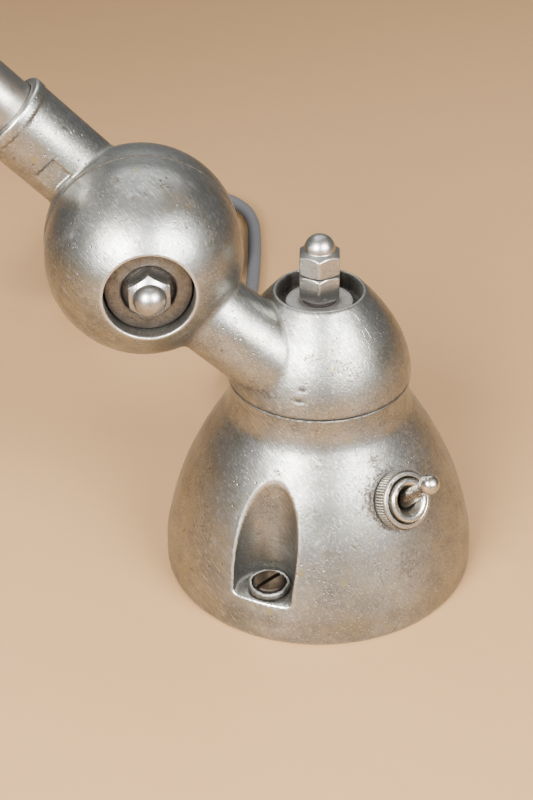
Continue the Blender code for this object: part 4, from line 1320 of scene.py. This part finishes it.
@dataclass
class Fasteners:
    """Nuts, bolts and washers of one thread size."""

    across: float = 11.0
    shank: float = 3.4
    sides: int = 144

    def flats(self, angle: Array, radius: Array, height: Array) -> Array:
        """Six flats with soft corners: the smaller of r and (a / 2) / cos(angle from a flat's middle)."""
        turn = (angle % (FULL_TURN / 6)) - FULL_TURN / 12
        flat = self.across / 2 / np.cos(turn)
        bitten = 0.10 * np.maximum(0, waves(np.stack([radius * np.cos(angle), radius * np.sin(angle),
                                                      height], -1)
                                            .reshape(-1, 3), 2.3, 5).reshape(angle.shape) - 0.9)
        full = smooth_min(radius, flat, 0.22) - bitten * (flat > 5.9)
        return np.where(radius > self.across / 2 - 0.35, np.minimum(full, radius), radius)

    def hexagon_outline(self, low: float, high: float) -> list[tuple[float, float]]:
        """A hexagon's corner outline with chamfers, from its top edge down."""
        corner = self.across / math.sqrt(3)
        return [(self.across / 2 - 0.1, high), (corner, high - 0.7), (corner, low + 0.5),
                (self.across / 2 + 0.1, low)]

    def finish_nut(self, surface: Surface) -> Surface:
        """Adds chipped corners and painted shade at the foot."""
        x, y, z = surface.points.T
        corner = smooth_step((np.hypot(x, y) - 5.9) / 0.4)
        chips = smooth_step((waves(surface.points, 2.6, 11) - 0.9) / 0.3)
        surface.masks = {"grime": np.clip(corner * chips + 0.6 * hump(z - z.min(), 0.5), 0, 1),
                         "wear": 0.25 * corner * (1 - chips)}
        return surface

    def cap_nut(self, height: float, dome: float, rise: float) -> Surface:
        """An acorn nut: hexagon, turned shoulder and dome."""
        curve = [(dome * math.sin(a), height + 0.75 + rise * math.cos(a))
                 for a in np.linspace(0, math.pi / 2, 14)]
        outline = [(0.0, curve[0][1])] + curve[1:] + [(dome + 0.12, height + 0.6),
                                                      (self.across / 2 - 0.5, height + 0.25)]
        outline += self.hexagon_outline(0.0, height) + [(self.shank + 0.3, 0.0),
                                                        (self.shank + 0.3, height - 0.8),
                                                        (0.0, height - 0.8)]
        return self.finish_nut(lathe(spaced(rounded(outline, 0.16, steps=3), 0.35), self.sides, self.flats))

    def lock_nut(self, low: float, high: float) -> Surface:
        """A plain nut with both faces chamfered."""
        bore = self.shank + 0.25
        outline = self.hexagon_outline(low, high) + [(bore, low), (bore, high)]
        loop = rounded(outline, 0.14, closed=True, steps=3)
        loop = spaced(np.concatenate([loop, loop[:1]]), 0.35)[:-1]
        return self.finish_nut(lathe(loop, self.sides, self.flats, closed=True))

    def bolt(self, head: float, length: float) -> Surface:
        """A hexagon bolt with its head below local Z = 0 and its shank above."""
        outline = [(0.0, length), (self.shank - 0.6, length), (self.shank, length - 0.6), (self.shank, 0.0)]
        corner = self.across / math.sqrt(3)
        outline += [(corner, 0.0), (corner, 0.7 - head), (self.across / 2 - 0.2, -head), (0.0, -head + 0.12)]
        surface = lathe(spaced(rounded(outline, 0.16, steps=3), 0.5), self.sides, self.flats)
        x, y, z = surface.points.T
        surface.masks = {"grime": 0.5 * hump(np.hypot(x, y) - 5.8, 0.5), "wear": 0.2 * hump(z + head, 0.3)}
        return surface

    def dished_washer(self) -> Surface:
        """A thick washer with a sunk middle, its back at local Z = 0."""
        outline = [(7.4, 2.3), (7.8, 2.45), (11.5, 2.0), (11.6, 1.8), (11.6, 0.0), (3.8, 0.0), (3.8, 0.95),
                   (6.9, 1.0)]
        loop = rounded(outline, 0.25, closed=True)
        loop = spaced(np.concatenate([loop, loop[:1]]), 0.4)[:-1]
        def uneven(angle: Array, radius: Array, height: Array) -> Array:
            """A rim that isn't quite round."""
            return radius + 0.05 * np.sin(5 * angle) * (radius > 7)
        surface = lathe(loop, 96, uneven, closed=True)
        rho = np.hypot(surface.points[:, 0], surface.points[:, 1])
        # Painted shade round the nut's seat and at the rim by the recess wall.
        surface.masks = {"grime": np.clip(0.95 * hump(rho - 6.6, 1.0) + 0.8 * hump(rho - 11.6, 0.6), 0, 1)}
        return surface

    def flat_ring(self, outer: float, inner: float, low: float, high: float, grime: float = 0.0) -> Surface:
        """A flat washer with soft edges."""
        loop = rounded([(outer, high), (outer, low), (inner, low), (inner, high)], 0.25, closed=True)
        loop = spaced(np.concatenate([loop, loop[:1]]), 0.5)[:-1]
        surface = lathe(loop, 96, closed=True)
        rho = np.hypot(surface.points[:, 0], surface.points[:, 1])
        # Painted shade at the outer rim, as strong as the given amount, and round the bore.
        surface.masks = {"grime": np.clip(grime * hump(rho - outer, 0.9) + 0.7 * hump(rho - 5.4, 0.6), 0, 1)}
        return surface


@dataclass
class BallJoint:
    """A ball joint: two half balls clamped by a bolt along Y."""

    name: str
    centre: Array
    radius: float = 27.1
    seam: float = 9.75
    gap: float = 0.22
    recess_radius: float = 12.1
    recess_depth: float = 6.6
    wall: float = 4.0
    reach: float = 49.4
    bore: float = 9.3
    fillet: float = 0.9

    def lip(self, side: Side) -> float:
        """The straight lip under a half ball."""
        return 4.65 if side is Side.FRONT else 3.1

    def depth(self, side: Side) -> float:
        """From the seam to the socket's axis."""
        return 9.75 if side is Side.FRONT else 13.65

    def socket_radius(self, side: Side) -> float:
        """The socket's own radius."""
        return 11.3 if side is Side.FRONT else 11.7

    def rim(self, side: Side) -> float:
        """Height of the recess's rim above the seam."""
        return self.lip(side) + math.sqrt(self.radius**2 - self.recess_radius**2)

    def ball_parts(self, points: Array, side: Side) -> tuple[Array, Array, Array, Array]:
        """Distance from the half ball, its height and radius about the bolt, and its hollows.

        The ball is sqrt(rho^2 + max(h - lip, 0)^2) - R. Its inside is the same less the wall, outside a boss.
        """
        local = points - self.centre
        rho = np.hypot(local[:, 0], local[:, 2])
        height = side.value * (local[:, 1] - self.seam)
        lip = self.lip(side)
        from_middle = np.hypot(rho, np.maximum(height - lip, 0.0))
        floor = self.rim(side) - self.recess_depth
        core = np.maximum(np.maximum(from_middle - self.radius + self.wall + 0.5,
                                     height - floor + self.wall), 8.0 - rho)
        core = np.minimum(core, np.maximum(rho - 8.5, height - 0.9))
        hollow = np.minimum(core, rho - 3.8)
        return from_middle - self.radius, height, rho, hollow

    def cut(self, solid: Array, height: Array, rho: Array, hollow: Array, side: Side) -> Array:
        """Takes the recess, the inside and the seam away from a solid."""
        floor = self.rim(side) - self.recess_depth
        recess = smooth_max(rho - self.recess_radius, floor - height, 1.2)
        solid = smooth_max(solid, -recess, 0.75)
        solid = np.maximum(solid, -hollow)
        return smooth_max(solid, -np.maximum(rho - self.radius - 0.3, height - self.gap), 0.14)

    def socket(self, points: Array, side: Side, angle: float) -> tuple[Array, Array]:
        """Distance from the socket's axis and how far along it each point is."""
        local = points - self.centre - np.array([0.0, self.seam + side.value * self.depth(side), 0.0])
        forward = local @ direction(angle)
        return np.linalg.norm(local - forward[:, None] * direction(angle), axis=1), forward

    def half(self, side: Side, angle: float, cell: float) -> Surface:
        """One half ball with the socket that holds an arm's tube."""
        thick = self.socket_radius(side)

        def distance(points: Array) -> Array:
            """The ball and socket joined by a fillet, less their hollows."""
            ball, height, rho, hollow = self.ball_parts(points, side)
            off, forward = self.socket(points, side, angle)
            collar = 0.35 * smooth_step((forward - self.reach + 3.4) / 0.5)
            tube = smooth_max(off - thick - collar + 0.2, np.maximum(forward - self.reach, -forward), 0.9)
            solid = self.cut(smooth_min(ball, tube, self.fillet), height, rho, hollow, side)
            step = self.step_cut(points, side, angle)
            solid = smooth_max(solid, -step, 0.4)
            solid = np.maximum(solid, -np.maximum(off - self.bore, 25.7 - forward))
            return np.maximum(solid, -np.maximum(off - 5.0, 15.0 - forward))

        middle = self.centre + np.array([0.0, self.seam, 0.0])
        end = self.centre + direction(angle) * (self.reach + 1)
        far = np.array([self.radius + 1, 0.0, self.radius + 1])
        low = np.minimum(middle - far, end - 13.0)
        high = np.maximum(middle + far, end + 13.0)
        ends = sorted([self.seam + side.value * (self.rim(side) + 1.5), self.seam - side.value * 2.5])
        low[1], high[1] = self.centre[1] + ends[0], self.centre[1] + ends[1]
        surface = contour(distance, low, high, cell)
        ball, height, rho, _ = self.ball_parts(surface.points, side)
        off, forward = self.socket(surface.points, side, angle)
        surface.masks = self.masks(ball, height, rho, off - thick, side)
        # Painted shade at the socket's mouth, where the tube goes in.
        surface.masks["grime"] = np.clip(surface.masks["grime"] + 0.8 * hump(forward - self.reach, 0.5)
                                         * (off < 9.9), 0, 1)
        surface.masks["wear"] = np.clip(surface.masks["wear"] + 0.5 * hump(forward - self.reach + 0.4, 0.5),
                                        0, 1)
        return surface

    def step_cut(self, points: Array, side: Side, angle: float) -> Array:
        """A shallow flat left on a rear socket where its clamp seat was machined."""
        local = points - self.centre - np.array([0.0, self.seam + side.value * self.depth(side), 0.0])
        forward = local @ direction(angle)
        across = local @ direction(angle + 90)
        if side is Side.FRONT:
            return np.full(len(points), 50.0)
        window = np.maximum(np.abs(forward - 31.2) - 3.4, np.abs(across - 3.2) - 4.6)
        return np.maximum(window, local[:, 1] + 10.1)

    def masks(self, ball: Array, height: Array, rho: Array, tube: Array, side: Side) -> dict[str, Array]:
        """Painted shade in the seam, in the recess and in the crease by the socket, and a bright rim."""
        rim = self.rim(side)
        in_recess = smooth_step((self.recess_radius + 0.35 - rho) / 0.5) * (height > rim - self.recess_depth
                                                                            - 1.0)
        crease = hump(ball, 1.0) * hump(tube, 1.0)
        # Painted shade in the seam's gap, down the recess and along the crease.
        grime = 1.2 * hump(height - self.gap,
                           0.50) + 0.95 * in_recess * smooth_step((rim - height) / 1.0) + 0.4 * crease
        wear = 0.85 * hump(rho - self.recess_radius - 0.35, 0.5) * hump(height - rim, 0.7)
        return {"grime": np.clip(grime, 0, 1), "wear": np.clip(wear, 0, 1)}

    def build_fasteners(self, body: Body, nodes: dict[str, bpy.types.Object]) -> None:
        """The nut, bolt and washers, and the friction disc between the halves."""
        parts = Fasteners()
        nut_at = 1.6
        for side in Side:
            floor = self.rim(side) - self.recess_depth
            spot = self.centre + np.array([0.0, self.seam, 0.0])
            place = shift(*spot) @ around("X", -90 * side.value)
            word = side.name.lower()
            washer = parts.dished_washer().placed(place @ shift(0, 0, floor + 0.3))
            washer.piece(f"{self.name}_{word}_dished_washer", body, DARK_STEEL, "steel",
                         [f"{self.name}_{word}_washer"])
            if side is Side.FRONT:
                nut = parts.cap_nut(5.0, 4.4,
                                    4.2).placed(place @ shift(0, 0, floor + nut_at) @ around("Z", 30))
                nut.piece(f"{self.name}_acorn_nut", body, NUT_PLATE, "plated_nuts", [f"{self.name}_cap_nut"])
            else:
                front = self.rim(Side.FRONT) - self.recess_depth
                bolt = parts.bolt(4.0, floor + front + 2 * nut_at + 3.8)
                bolt = bolt.placed(place @ shift(0, 0, floor + nut_at) @ around("X", 180) @ around("Z", 12))
                bolt.piece(f"{self.name}_hex_bolt", body, DARK_STEEL, "steel", [f"{self.name}_bolt"])
        dress_node(nodes[f"{self.name}_friction_disc"], FIBRE)


@dataclass
class TurningHead:
    """The domed head with its leaning stub and the front half of the lower ball, and the nuts on top."""

    joint: BallJoint
    bottom: float = 63.7
    rim: float = 90.2
    stub_root: tuple[float, float, float] = (0.0, -11.0, 62.0)
    stub_radius: float = 11.3
    stub_flare: float = 0.9
    opening: float = 12.0
    floor: float = 84.6
    foot_radius: float = 26.2
    foot_height: float = 63.5
    rim_radius: float = 12.6
    roundness: float = 1.9
    marks: tuple[Mark, ...] = (
        Mark(-111.0, 69.0, 1.3, 0.60, Trace.GRIME, 1.5, 0.30),
        Mark(-109.5, 72.2, 1.2, 0.52, Trace.GRIME, 1.4, 0.25),
        Mark(-142.0, 69.3, 11.0, 1.1, Trace.STAIN, 1.0),
        Mark(-128.0, 68.0, 3.0, 0.9, Trace.STAIN, 0.9),
        Mark(-80.0, 76.0, 5.0, 3.0, Trace.STAIN, 0.55),
        Mark(-100.0, 80.0, 4.0, 2.0, Trace.STAIN, 0.60),
        Mark(-40.0, 72.0, 6.0, 4.0, Trace.STAIN, 0.55),
        Mark(60.0, 74.0, 6.0, 4.0, Trace.STAIN, 0.60),
    )
    ball_marks: tuple[Mark, ...] = (
        Mark(-6.6, 76.0, 1.7, 1.6, Trace.STAIN, 1.0),
        Mark(12.8, 60.0, 1.5, 1.8, Trace.STAIN, 0.62),
        Mark(-5.0, 49.0, 1.1, 0.8, Trace.STAIN, 0.85),
        Mark(6.0, 69.0, 2.6, 1.6, Trace.STAIN, 0.55),
        Mark(-2.5, 60.5, 1.0, 1.0, Trace.STAIN, 0.80),
        Mark(-14.0, 50.0, 0.55, 0.4, Trace.GRIME, 0.95, 0.15),
        Mark(-18.8, 46.5, 0.45, 0.9, Trace.WEAR, 1.0, 0.12),
        Mark(-20.0, 10.0, 4.0, 9.0, Trace.STAIN, 0.45),
        Mark(17.0, 38.0, 3.0, 5.0, Trace.STAIN, 0.50),
    )

    def dome(self, points: Array) -> Array:
        """Distance from the dome, cut off at its rim.

        Its radius falls from the foot's to the rim's as R(t) = foot - (foot - rim) t^n, where t runs from 0
        at the foot to 1 at the rim and n is the roundness.
        """
        rho = np.hypot(points[:, 0], points[:, 1])
        z = points[:, 2]
        rise = self.rim - self.foot_height
        fall = self.foot_radius - self.rim_radius
        t = np.clip((z - self.foot_height) / rise, 0.0, 1.1)
        lean = self.roundness * fall / rise * t ** (self.roundness - 1)
        skin = (rho - self.foot_radius + fall * t**self.roundness) / np.hypot(1.0, lean)
        return smooth_max(skin, z - self.rim, 0.9)

    def stub(self, points: Array) -> tuple[Array, Array]:
        """Distance from the stub's skin, which flares towards the dome, and how far out each point is."""
        root = np.array(self.stub_root)
        length = np.linalg.norm(self.joint.centre - root)
        ahead = (self.joint.centre - root) / length
        local = points - root
        out = local @ ahead
        off = np.linalg.norm(local - out[:, None] * ahead, axis=1)
        return off - self.stub_radius - self.stub_flare * (1 - np.clip(out / length, 0, 1)), out

    def distance(self, points: Array) -> Array:
        """Dome, stub and half ball run together, less the recess, the inside and the seams."""
        z = points[:, 2]
        rho = np.hypot(points[:, 0], points[:, 1])
        ball, height, turn, hollow = self.joint.ball_parts(points, Side.FRONT)
        side, out = self.stub(points)
        rod = np.maximum(side, np.maximum(-out, out - np.linalg.norm(self.joint.centre - self.stub_root)))
        half = np.maximum(ball, -height - 2.0)
        solid = smooth_min(self.dome(points), rod, 0.8)
        solid = smooth_min(solid, half, 1.3)
        for mark in self.marks:
            if mark.depth:
                solid = solid + mark.depth * mark.turned(points)
        well = smooth_max(rho - self.opening, self.floor - z, 0.8)
        solid = smooth_max(solid, -well, 0.8)
        solid = smooth_max(solid, self.bottom - z, 0.2)
        wide = np.interp(z, [67.0, 72.0, 77.0, 79.0], [21.5, 20.0, 17.0, 12.0])
        room = np.maximum(np.maximum(rho - wide, z - 79.0), 9.0 - rho)
        room = np.minimum(room, np.maximum(rho - 12.6, z - 65.4))
        solid = np.maximum(solid, -np.minimum(room, rho - 3.8))
        wireway = np.maximum(side + self.stub_radius - 6.0, np.abs(out - 36.0) - 17.0)
        return self.joint.cut(np.maximum(solid, -wireway), height, turn, hollow, Side.FRONT)

    def masks(self, points: Array) -> dict[str, Array]:
        """Painted shade in the seams, wells and creases, bright rims, and the brown marks under the stub."""
        z = points[:, 2]
        rho = np.hypot(points[:, 0], points[:, 1])
        ball, height, turn, _ = self.joint.ball_parts(points, Side.FRONT)
        side, _ = self.stub(points)
        masks = self.joint.masks(ball, height, turn, np.full(len(points), 20.0), Side.FRONT)
        dome = self.dome(points)
        crease = hump(dome, 0.8) * hump(side, 0.8)
        neck = hump(ball, 1.2) * hump(side, 1.2)
        well = smooth_step((self.opening + 0.3 - rho) / 0.4) * (z > self.floor
                                                                - 1.0) * smooth_step((self.rim - z) / 2.0)
        # Painted shade in the creases, the nut's well and the seam at the dome's foot.
        grime = masks["grime"] + 0.35 * crease + 0.35 * neck + 0.72 * well + 1.0 * hump(z - self.bottom, 0.38)
        wear = masks["wear"] + 0.22 * hump(rho - self.opening - 0.4, 0.45) * hump(z - self.rim, 0.6)
        masks = {"grime": grime, "wear": wear, "stain": np.zeros(len(points))}
        local = points - self.joint.centre - np.array([0.0, self.joint.seam - self.joint.lip(Side.FRONT),
                                                       0.0])
        lift = np.degrees(np.arctan2(local[:, 2], -local[:, 1]))
        for mark in self.ball_marks:
            spread = mark.on(local[:, 0], 1.0, lift, math.radians(self.joint.radius)) * hump(ball, 1.0)
            masks[mark.trace.value] = masks[mark.trace.value] + mark.strength * spread
        return marked(masks, points, self.marks)

    def build(self, nodes: dict[str, bpy.types.Object]) -> None:
        """Makes the casting and the stack of nuts."""
        centre = self.joint.centre
        low = (centre[0] - 28.0, centre[1] - 20.2, self.bottom - 1.0)
        low = np.minimum(low, (-27.0, -27.0, self.bottom - 1.0))
        high = np.array([27.0, 27.0, centre[2] + 28.0])
        casting = contour(self.distance, low, high, 0.56)
        casting.masks = self.masks(casting.points)
        casting.piece("turning_head", Body.TURRET, CASTING, "cast_aluminium", ["swivel_casting"])
        self.build_stack(nodes)

    def build_stack(self, nodes: dict[str, bpy.types.Object]) -> None:
        """The disc, collar, lock nut and acorn nut on the pivot bolt."""
        parts = Fasteners()
        turn = around("Z", -98.8)
        # Both rings' outer rims are painted darker as shade: the disc's faintly in the well, the neck
        # collar's fully under the lock nut.
        disc = parts.flat_ring(9.4, 3.8, 85.0, 86.5, grime=0.3)
        disc.piece("pivot_disc", Body.BASE, DISC_STEEL, "steel", ["pivot_washer"])
        collar = parts.flat_ring(4.9, 3.8, 86.8, 88.0, grime=1.0)
        collar.piece("pivot_neck", Body.BASE, DARK_STEEL, "steel", ["pivot_collar"])
        lock = parts.lock_nut(88.3, 95.6).placed(turn)
        lock.piece("pivot_lock", Body.BASE, NUT_PLATE, "plated_nuts", ["pivot_lock_nut"])
        cap = parts.cap_nut(5.9, 4.3, 4.2).placed(shift(0, 0, 95.95) @ turn)
        cap.piece("pivot_acorn_nut", Body.BASE, NUT_PLATE, "plated_nuts", ["pivot_cap_nut"])
        dress_node(nodes["pivot_bolt"], DARK_STEEL)
        dress_node(nodes["pivot_inner_washer"], DARK_STEEL)
        dress_node(nodes["pivot_friction_disc"], FIBRE)


@dataclass
class Arm:
    """A tube between two ball joints, with the lead inside it."""

    name: str
    body: Body
    start: Array
    angle: float
    length: float
    radius: float = 9.0
    wall: float = 1.0
    insert: float = 26.0

    def build(self) -> None:
        """Makes the tube and its lead."""
        place = shift(*self.start) @ along(self.angle)
        low, high = self.insert, self.length - self.insert
        ring = [(self.radius, high), (self.radius, low), (self.radius - self.wall, low),
                (self.radius - self.wall, high)]
        loop = rounded(ring, 0.3, closed=True)
        loop = spaced(np.concatenate([loop, loop[:1]]), 3.0)[:-1]

        def worn(angle: Array, radius: Array, height: Array) -> Array:
            """A drawn tube's faint waves and dings: r - 0.05 noise."""
            spots = np.stack([9 * np.cos(angle), 9 * np.sin(angle), height], -1).reshape(-1, 3)
            return radius - 0.035 * waves(spots, 14.0, 31).reshape(angle.shape)

        tube = lathe(loop, 120, worn, closed=True)
        h = tube.points[:, 2]
        # Painted shade at both ends, where the tube goes into the sockets.
        ends = hump(h - 49.6, 0.7) + hump(h - (self.length - 49.6), 0.7)
        tube.masks = {"grime": np.clip(0.75 * ends, 0, 1)}
        tube.placed(place).piece(f"{self.name}_tube_shell", self.body, TUBE_PLATE, "nickel_plate",
                                 [f"{self.name}_tube"])
        lead = rounded([(0.0, self.length - 20.0), (3.0, self.length - 20.0), (3.0, 20.0), (0.0, 20.0)], 0.8)

        def twisted(angle: Array, radius: Array, height: Array) -> Array:
            """Two cores twisted together: r (0.82 + 0.18 |cos(u - k h)|)."""
            return radius * (0.80 + 0.20 * np.abs(np.cos(angle - height * 0.25)))

        core = lathe(spaced(lead, 1.2), 28, twisted).placed(place)
        core.piece(f"{self.name}_twisted_lead", self.body, SHEATH, "cord_sheath", [f"{self.name}_lead"])


@dataclass
class ShadeHead:
    """The neck, collar, lampholder, bulb and spun shade under the last joint."""

    centre: Array
    offset: float = 23.4
    profile: Outline = ((10.0, -66.0), (20.0, -66.0), (23.2, -67.6), (24.4, -71.5), (25.0, -88.0),
                        (25.5, -103.0),
                        (29.0, -114.5), (38.0, -124.0), (50.0, -135.5), (64.0, -149.0), (75.0, -164.0),
                        (84.0, -186.0))

    def build(self) -> None:
        """Makes every piece of the shade's head."""
        place = shift(*(self.centre + np.array([0.0, self.offset, 0.0])))
        self.build_neck(place)
        self.build_shade(place)
        self.build_lampholder(place)
        self.build_bulb(place)

    def build_neck(self, place: Array) -> None:
        """The neck tube and the collar that clamps the shade to it."""
        ring = [(9.0, -26.0), (9.0, -80.0), (8.0, -80.0), (8.0, -26.0)]
        loop = rounded(ring, 0.25, closed=True)
        loop = spaced(np.concatenate([loop, loop[:1]]), 2.0)[:-1]
        tube = lathe(loop, 96, closed=True)
        # Painted shade where the neck goes into the socket.
        tube.masks = {"grime": 0.7 * hump(tube.points[:, 2] + 49.6, 0.7)}
        tube.placed(place).piece("shade_neck", Body.SHADE, TUBE_PLATE, "nickel_plate", ["shade_neck_tube"])
        outline = [(9.6, -54.0), (13.2, -54.0), (14.2, -54.8), (14.2, -58.5), (13.7, -59.2), (14.2, -59.9),
                   (15.5, -61.2),
                   (15.5, -65.7), (9.6, -65.7)]
        loop = rounded(outline, 0.35, closed=True)
        loop = spaced(np.concatenate([loop, loop[:1]]), 0.5)[:-1]

        def milled(angle: Array, radius: Array, height: Array) -> Array:
            """A fine straight knurl on the collar's lower band."""
            band = smooth_step((radius - 15.0) / 0.3) * smooth_step((-61.4 - height) / 0.3)
            return radius - 0.3 * band * (1 - np.abs(np.cos(36 * angle)))

        collar = lathe(loop, 432, milled, closed=True)
        # Painted shade in the collar's groove.
        collar.masks = {"grime": 0.8 * hump(collar.points[:, 2] + 59.2, 0.5)}
        collar.placed(place).piece("shade_clamp_collar", Body.SHADE, NICKEL, "nickel_plate", ["shade_collar"])

    def build_shade(self, place: Array) -> None:
        """The spun shade: an outline carried round the axis, a 1 mm wall and a rolled bead at its mouth."""
        outer = flowing(self.profile, 110)
        run = unit(np.gradient(outer, axis=0))
        inner = outer + np.stack([run[:, 1], -run[:, 0]], -1)
        inner[0] = (10.0, -67.0)
        centre = outer[-1] + (-0.9, 0.4)
        turn = np.radians(np.linspace(20, -200, 16))
        bead = centre + 1.35 * np.stack([np.cos(turn), np.sin(turn)], -1)
        loop = np.concatenate([outer[:-2], bead, inner[-4::-1]])
        surface = lathe(loop, 220, closed=True)
        x, y, z = surface.points.T
        # Painted shade round the collar's foot on the crown, and a bright worn bead.
        surface.masks = {"grime": np.clip(0.6 * hump(np.hypot(x, y) - 16.0, 1.2) * (z > -67.5), 0, 1),
                         "wear": 0.6 * hump(z + 187.0, 0.9)}
        finish = SpunMetal("spun_shade", axis=(place[0, 3], place[1, 3]))
        surface.placed(place).piece("spun_shade", Body.SHADE, finish, "spun_aluminium", ["shade"])

    def build_lampholder(self, place: Array) -> None:
        """A dark moulded lampholder with ribs for the fingers."""
        outline = [(9.5, -70.0), (16.6, -70.0), (18.0, -71.6), (18.0, -77.0), (17.0, -78.0), (17.0, -80.0),
                   (18.5, -81.0),
                   (18.5, -116.0), (17.4, -117.0), (17.4, -118.6), (18.2, -119.4), (18.2, -121.6),
                   (17.6, -122.0),
                   (14.2, -122.0), (14.2, -96.0), (4.0, -96.0), (4.0, -84.0), (9.5, -84.0)]
        loop = rounded(outline, 0.4, closed=True)
        loop = spaced(np.concatenate([loop, loop[:1]]), 1.2)[:-1]

        def ribbed(angle: Array, radius: Array, height: Array) -> Array:
            """Flutes on the long band: r - 0.7 sin^2(12 u)."""
            band = (radius > 18.2) * smooth_step((-81.5 - height) / 1.2) * smooth_step((height + 115.5) / 1.2)
            return radius - 0.7 * band * np.sin(15 * angle) ** 2

        holder = lathe(loop, 240, ribbed, closed=True)
        holder.placed(place).piece("ribbed_lampholder", Body.SHADE, BAKELITE, "bakelite", ["lampholder"])

    def build_bulb(self, place: Array) -> None:
        """The bulb's screw cap and opal glass."""
        cap = [(0.0, -97.0), (3.6, -97.0), (4.4, -98.0), (10.0, -99.2), (13.0, -100.6), (13.0, -119.6),
               (12.4, -120.0),
               (12.0, -119.6), (12.0, -102.0), (0.0, -102.0)]

        def thread(angle: Array, radius: Array, height: Array) -> Array:
            """The rolled screw: r - 0.6 (1 + cos(2 pi h / 3.6 + u)) / 2."""
            wall = (radius > 11.5) * smooth_step((-101.0 - height) / 0.8) * smooth_step((height + 118.8)
                                                                                        / 0.8)
            return radius - 0.55 * wall * (1 + np.cos(FULL_TURN * height / 3.62 + angle)) / 2

        base = lathe(spaced(rounded(cap, 0.3), 0.35), 96, thread)
        base.placed(place).piece("bulb_screw_cap", Body.SHADE, BRASS, "brass", ["bulb_cap"])
        neck = [(10.8, -104.0), (11.2, -114.0), (11.6, -121.0), (13.6, -126.0), (18.6, -130.0),
                (22.8, -134.4),
                (25.2, -139.8), (26.0, -146.0), (25.1, -152.7), (22.5, -159.0), (18.4, -164.4),
                (13.0, -168.5),
                (6.7, -171.1), (0.0, -172.0)]
        outer = flowing(neck, 80)
        outer[-1, 0] = 0.0
        run = unit(np.gradient(outer, axis=0))
        inner = outer + np.stack([run[:, 1], -run[:, 0]], -1)
        inner[-1] = (0.0, -171.0)
        glass = lathe(np.concatenate([inner[::-1], outer]), 96)
        glass.placed(place).piece("opal_bulb", Body.SHADE, OPAL, "opal_glass", ["bulb_glass"])


def main() -> None:
    """Loads the frame and builds the lamp round it."""
    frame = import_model()
    nodes = frame["nodes"]
    hinge = {joint["name"]: np.array(joint["pos_m"]) / MM for joint in frame["joints"]}
    Studio().build()
    MainsCord().build()

    lower = BallJoint("lower_joint", hinge["lower_tilt"])
    elbow = BallJoint("elbow_joint", hinge["elbow_tilt"])
    shade = BallJoint("shade_joint", hinge["shade_tilt"])
    lower_run = elbow.centre - lower.centre
    upper_run = shade.centre - elbow.centre
    lower_angle = math.degrees(math.atan2(lower_run[2], lower_run[0]))
    upper_angle = math.degrees(math.atan2(upper_run[2], upper_run[0]))

    Base().build(nodes)
    Switch().build(nodes)
    TurningHead(lower).build(nodes)
    halves = (
        (lower, Side.REAR, lower_angle, "lower_arm_casting", Body.LOWER_ARM, 0.56),
        (elbow, Side.REAR, lower_angle + 180, "elbow_rear_casting", Body.LOWER_ARM, 0.8),
        (elbow, Side.FRONT, upper_angle, "elbow_front_casting", Body.UPPER_ARM, 0.8),
        (shade, Side.FRONT, upper_angle + 180, "upper_arm_casting", Body.UPPER_ARM, 0.8),
        (shade, Side.REAR, -90.0, "shade_casting", Body.SHADE, 0.8),
    )
    for joint, side, angle, node, body, cell in halves:
        joint.half(side, angle, cell).piece(f"{node}_skin", body, CASTING, "cast_aluminium", [node])
    for joint, body in ((lower, Body.TURRET), (elbow, Body.UPPER_ARM), (shade, Body.UPPER_ARM)):
        joint.build_fasteners(body, nodes)
    rear = np.array([0.0, lower.seam + lower.depth(Side.REAR), 0.0])
    front = np.array([0.0, lower.seam - lower.depth(Side.FRONT), 0.0])
    Arm("lower_arm", Body.LOWER_ARM, lower.centre + rear, lower_angle,
        float(np.linalg.norm(lower_run))).build()
    Arm("upper_arm", Body.UPPER_ARM, elbow.centre + front, upper_angle,
        float(np.linalg.norm(upper_run))).build()
    ShadeHead(shade.centre).build()
    for pin in ("plug_pin_left", "plug_pin_right"):
        dress_node(nodes[pin], BRASS)


if __name__ == "__main__":
    main()
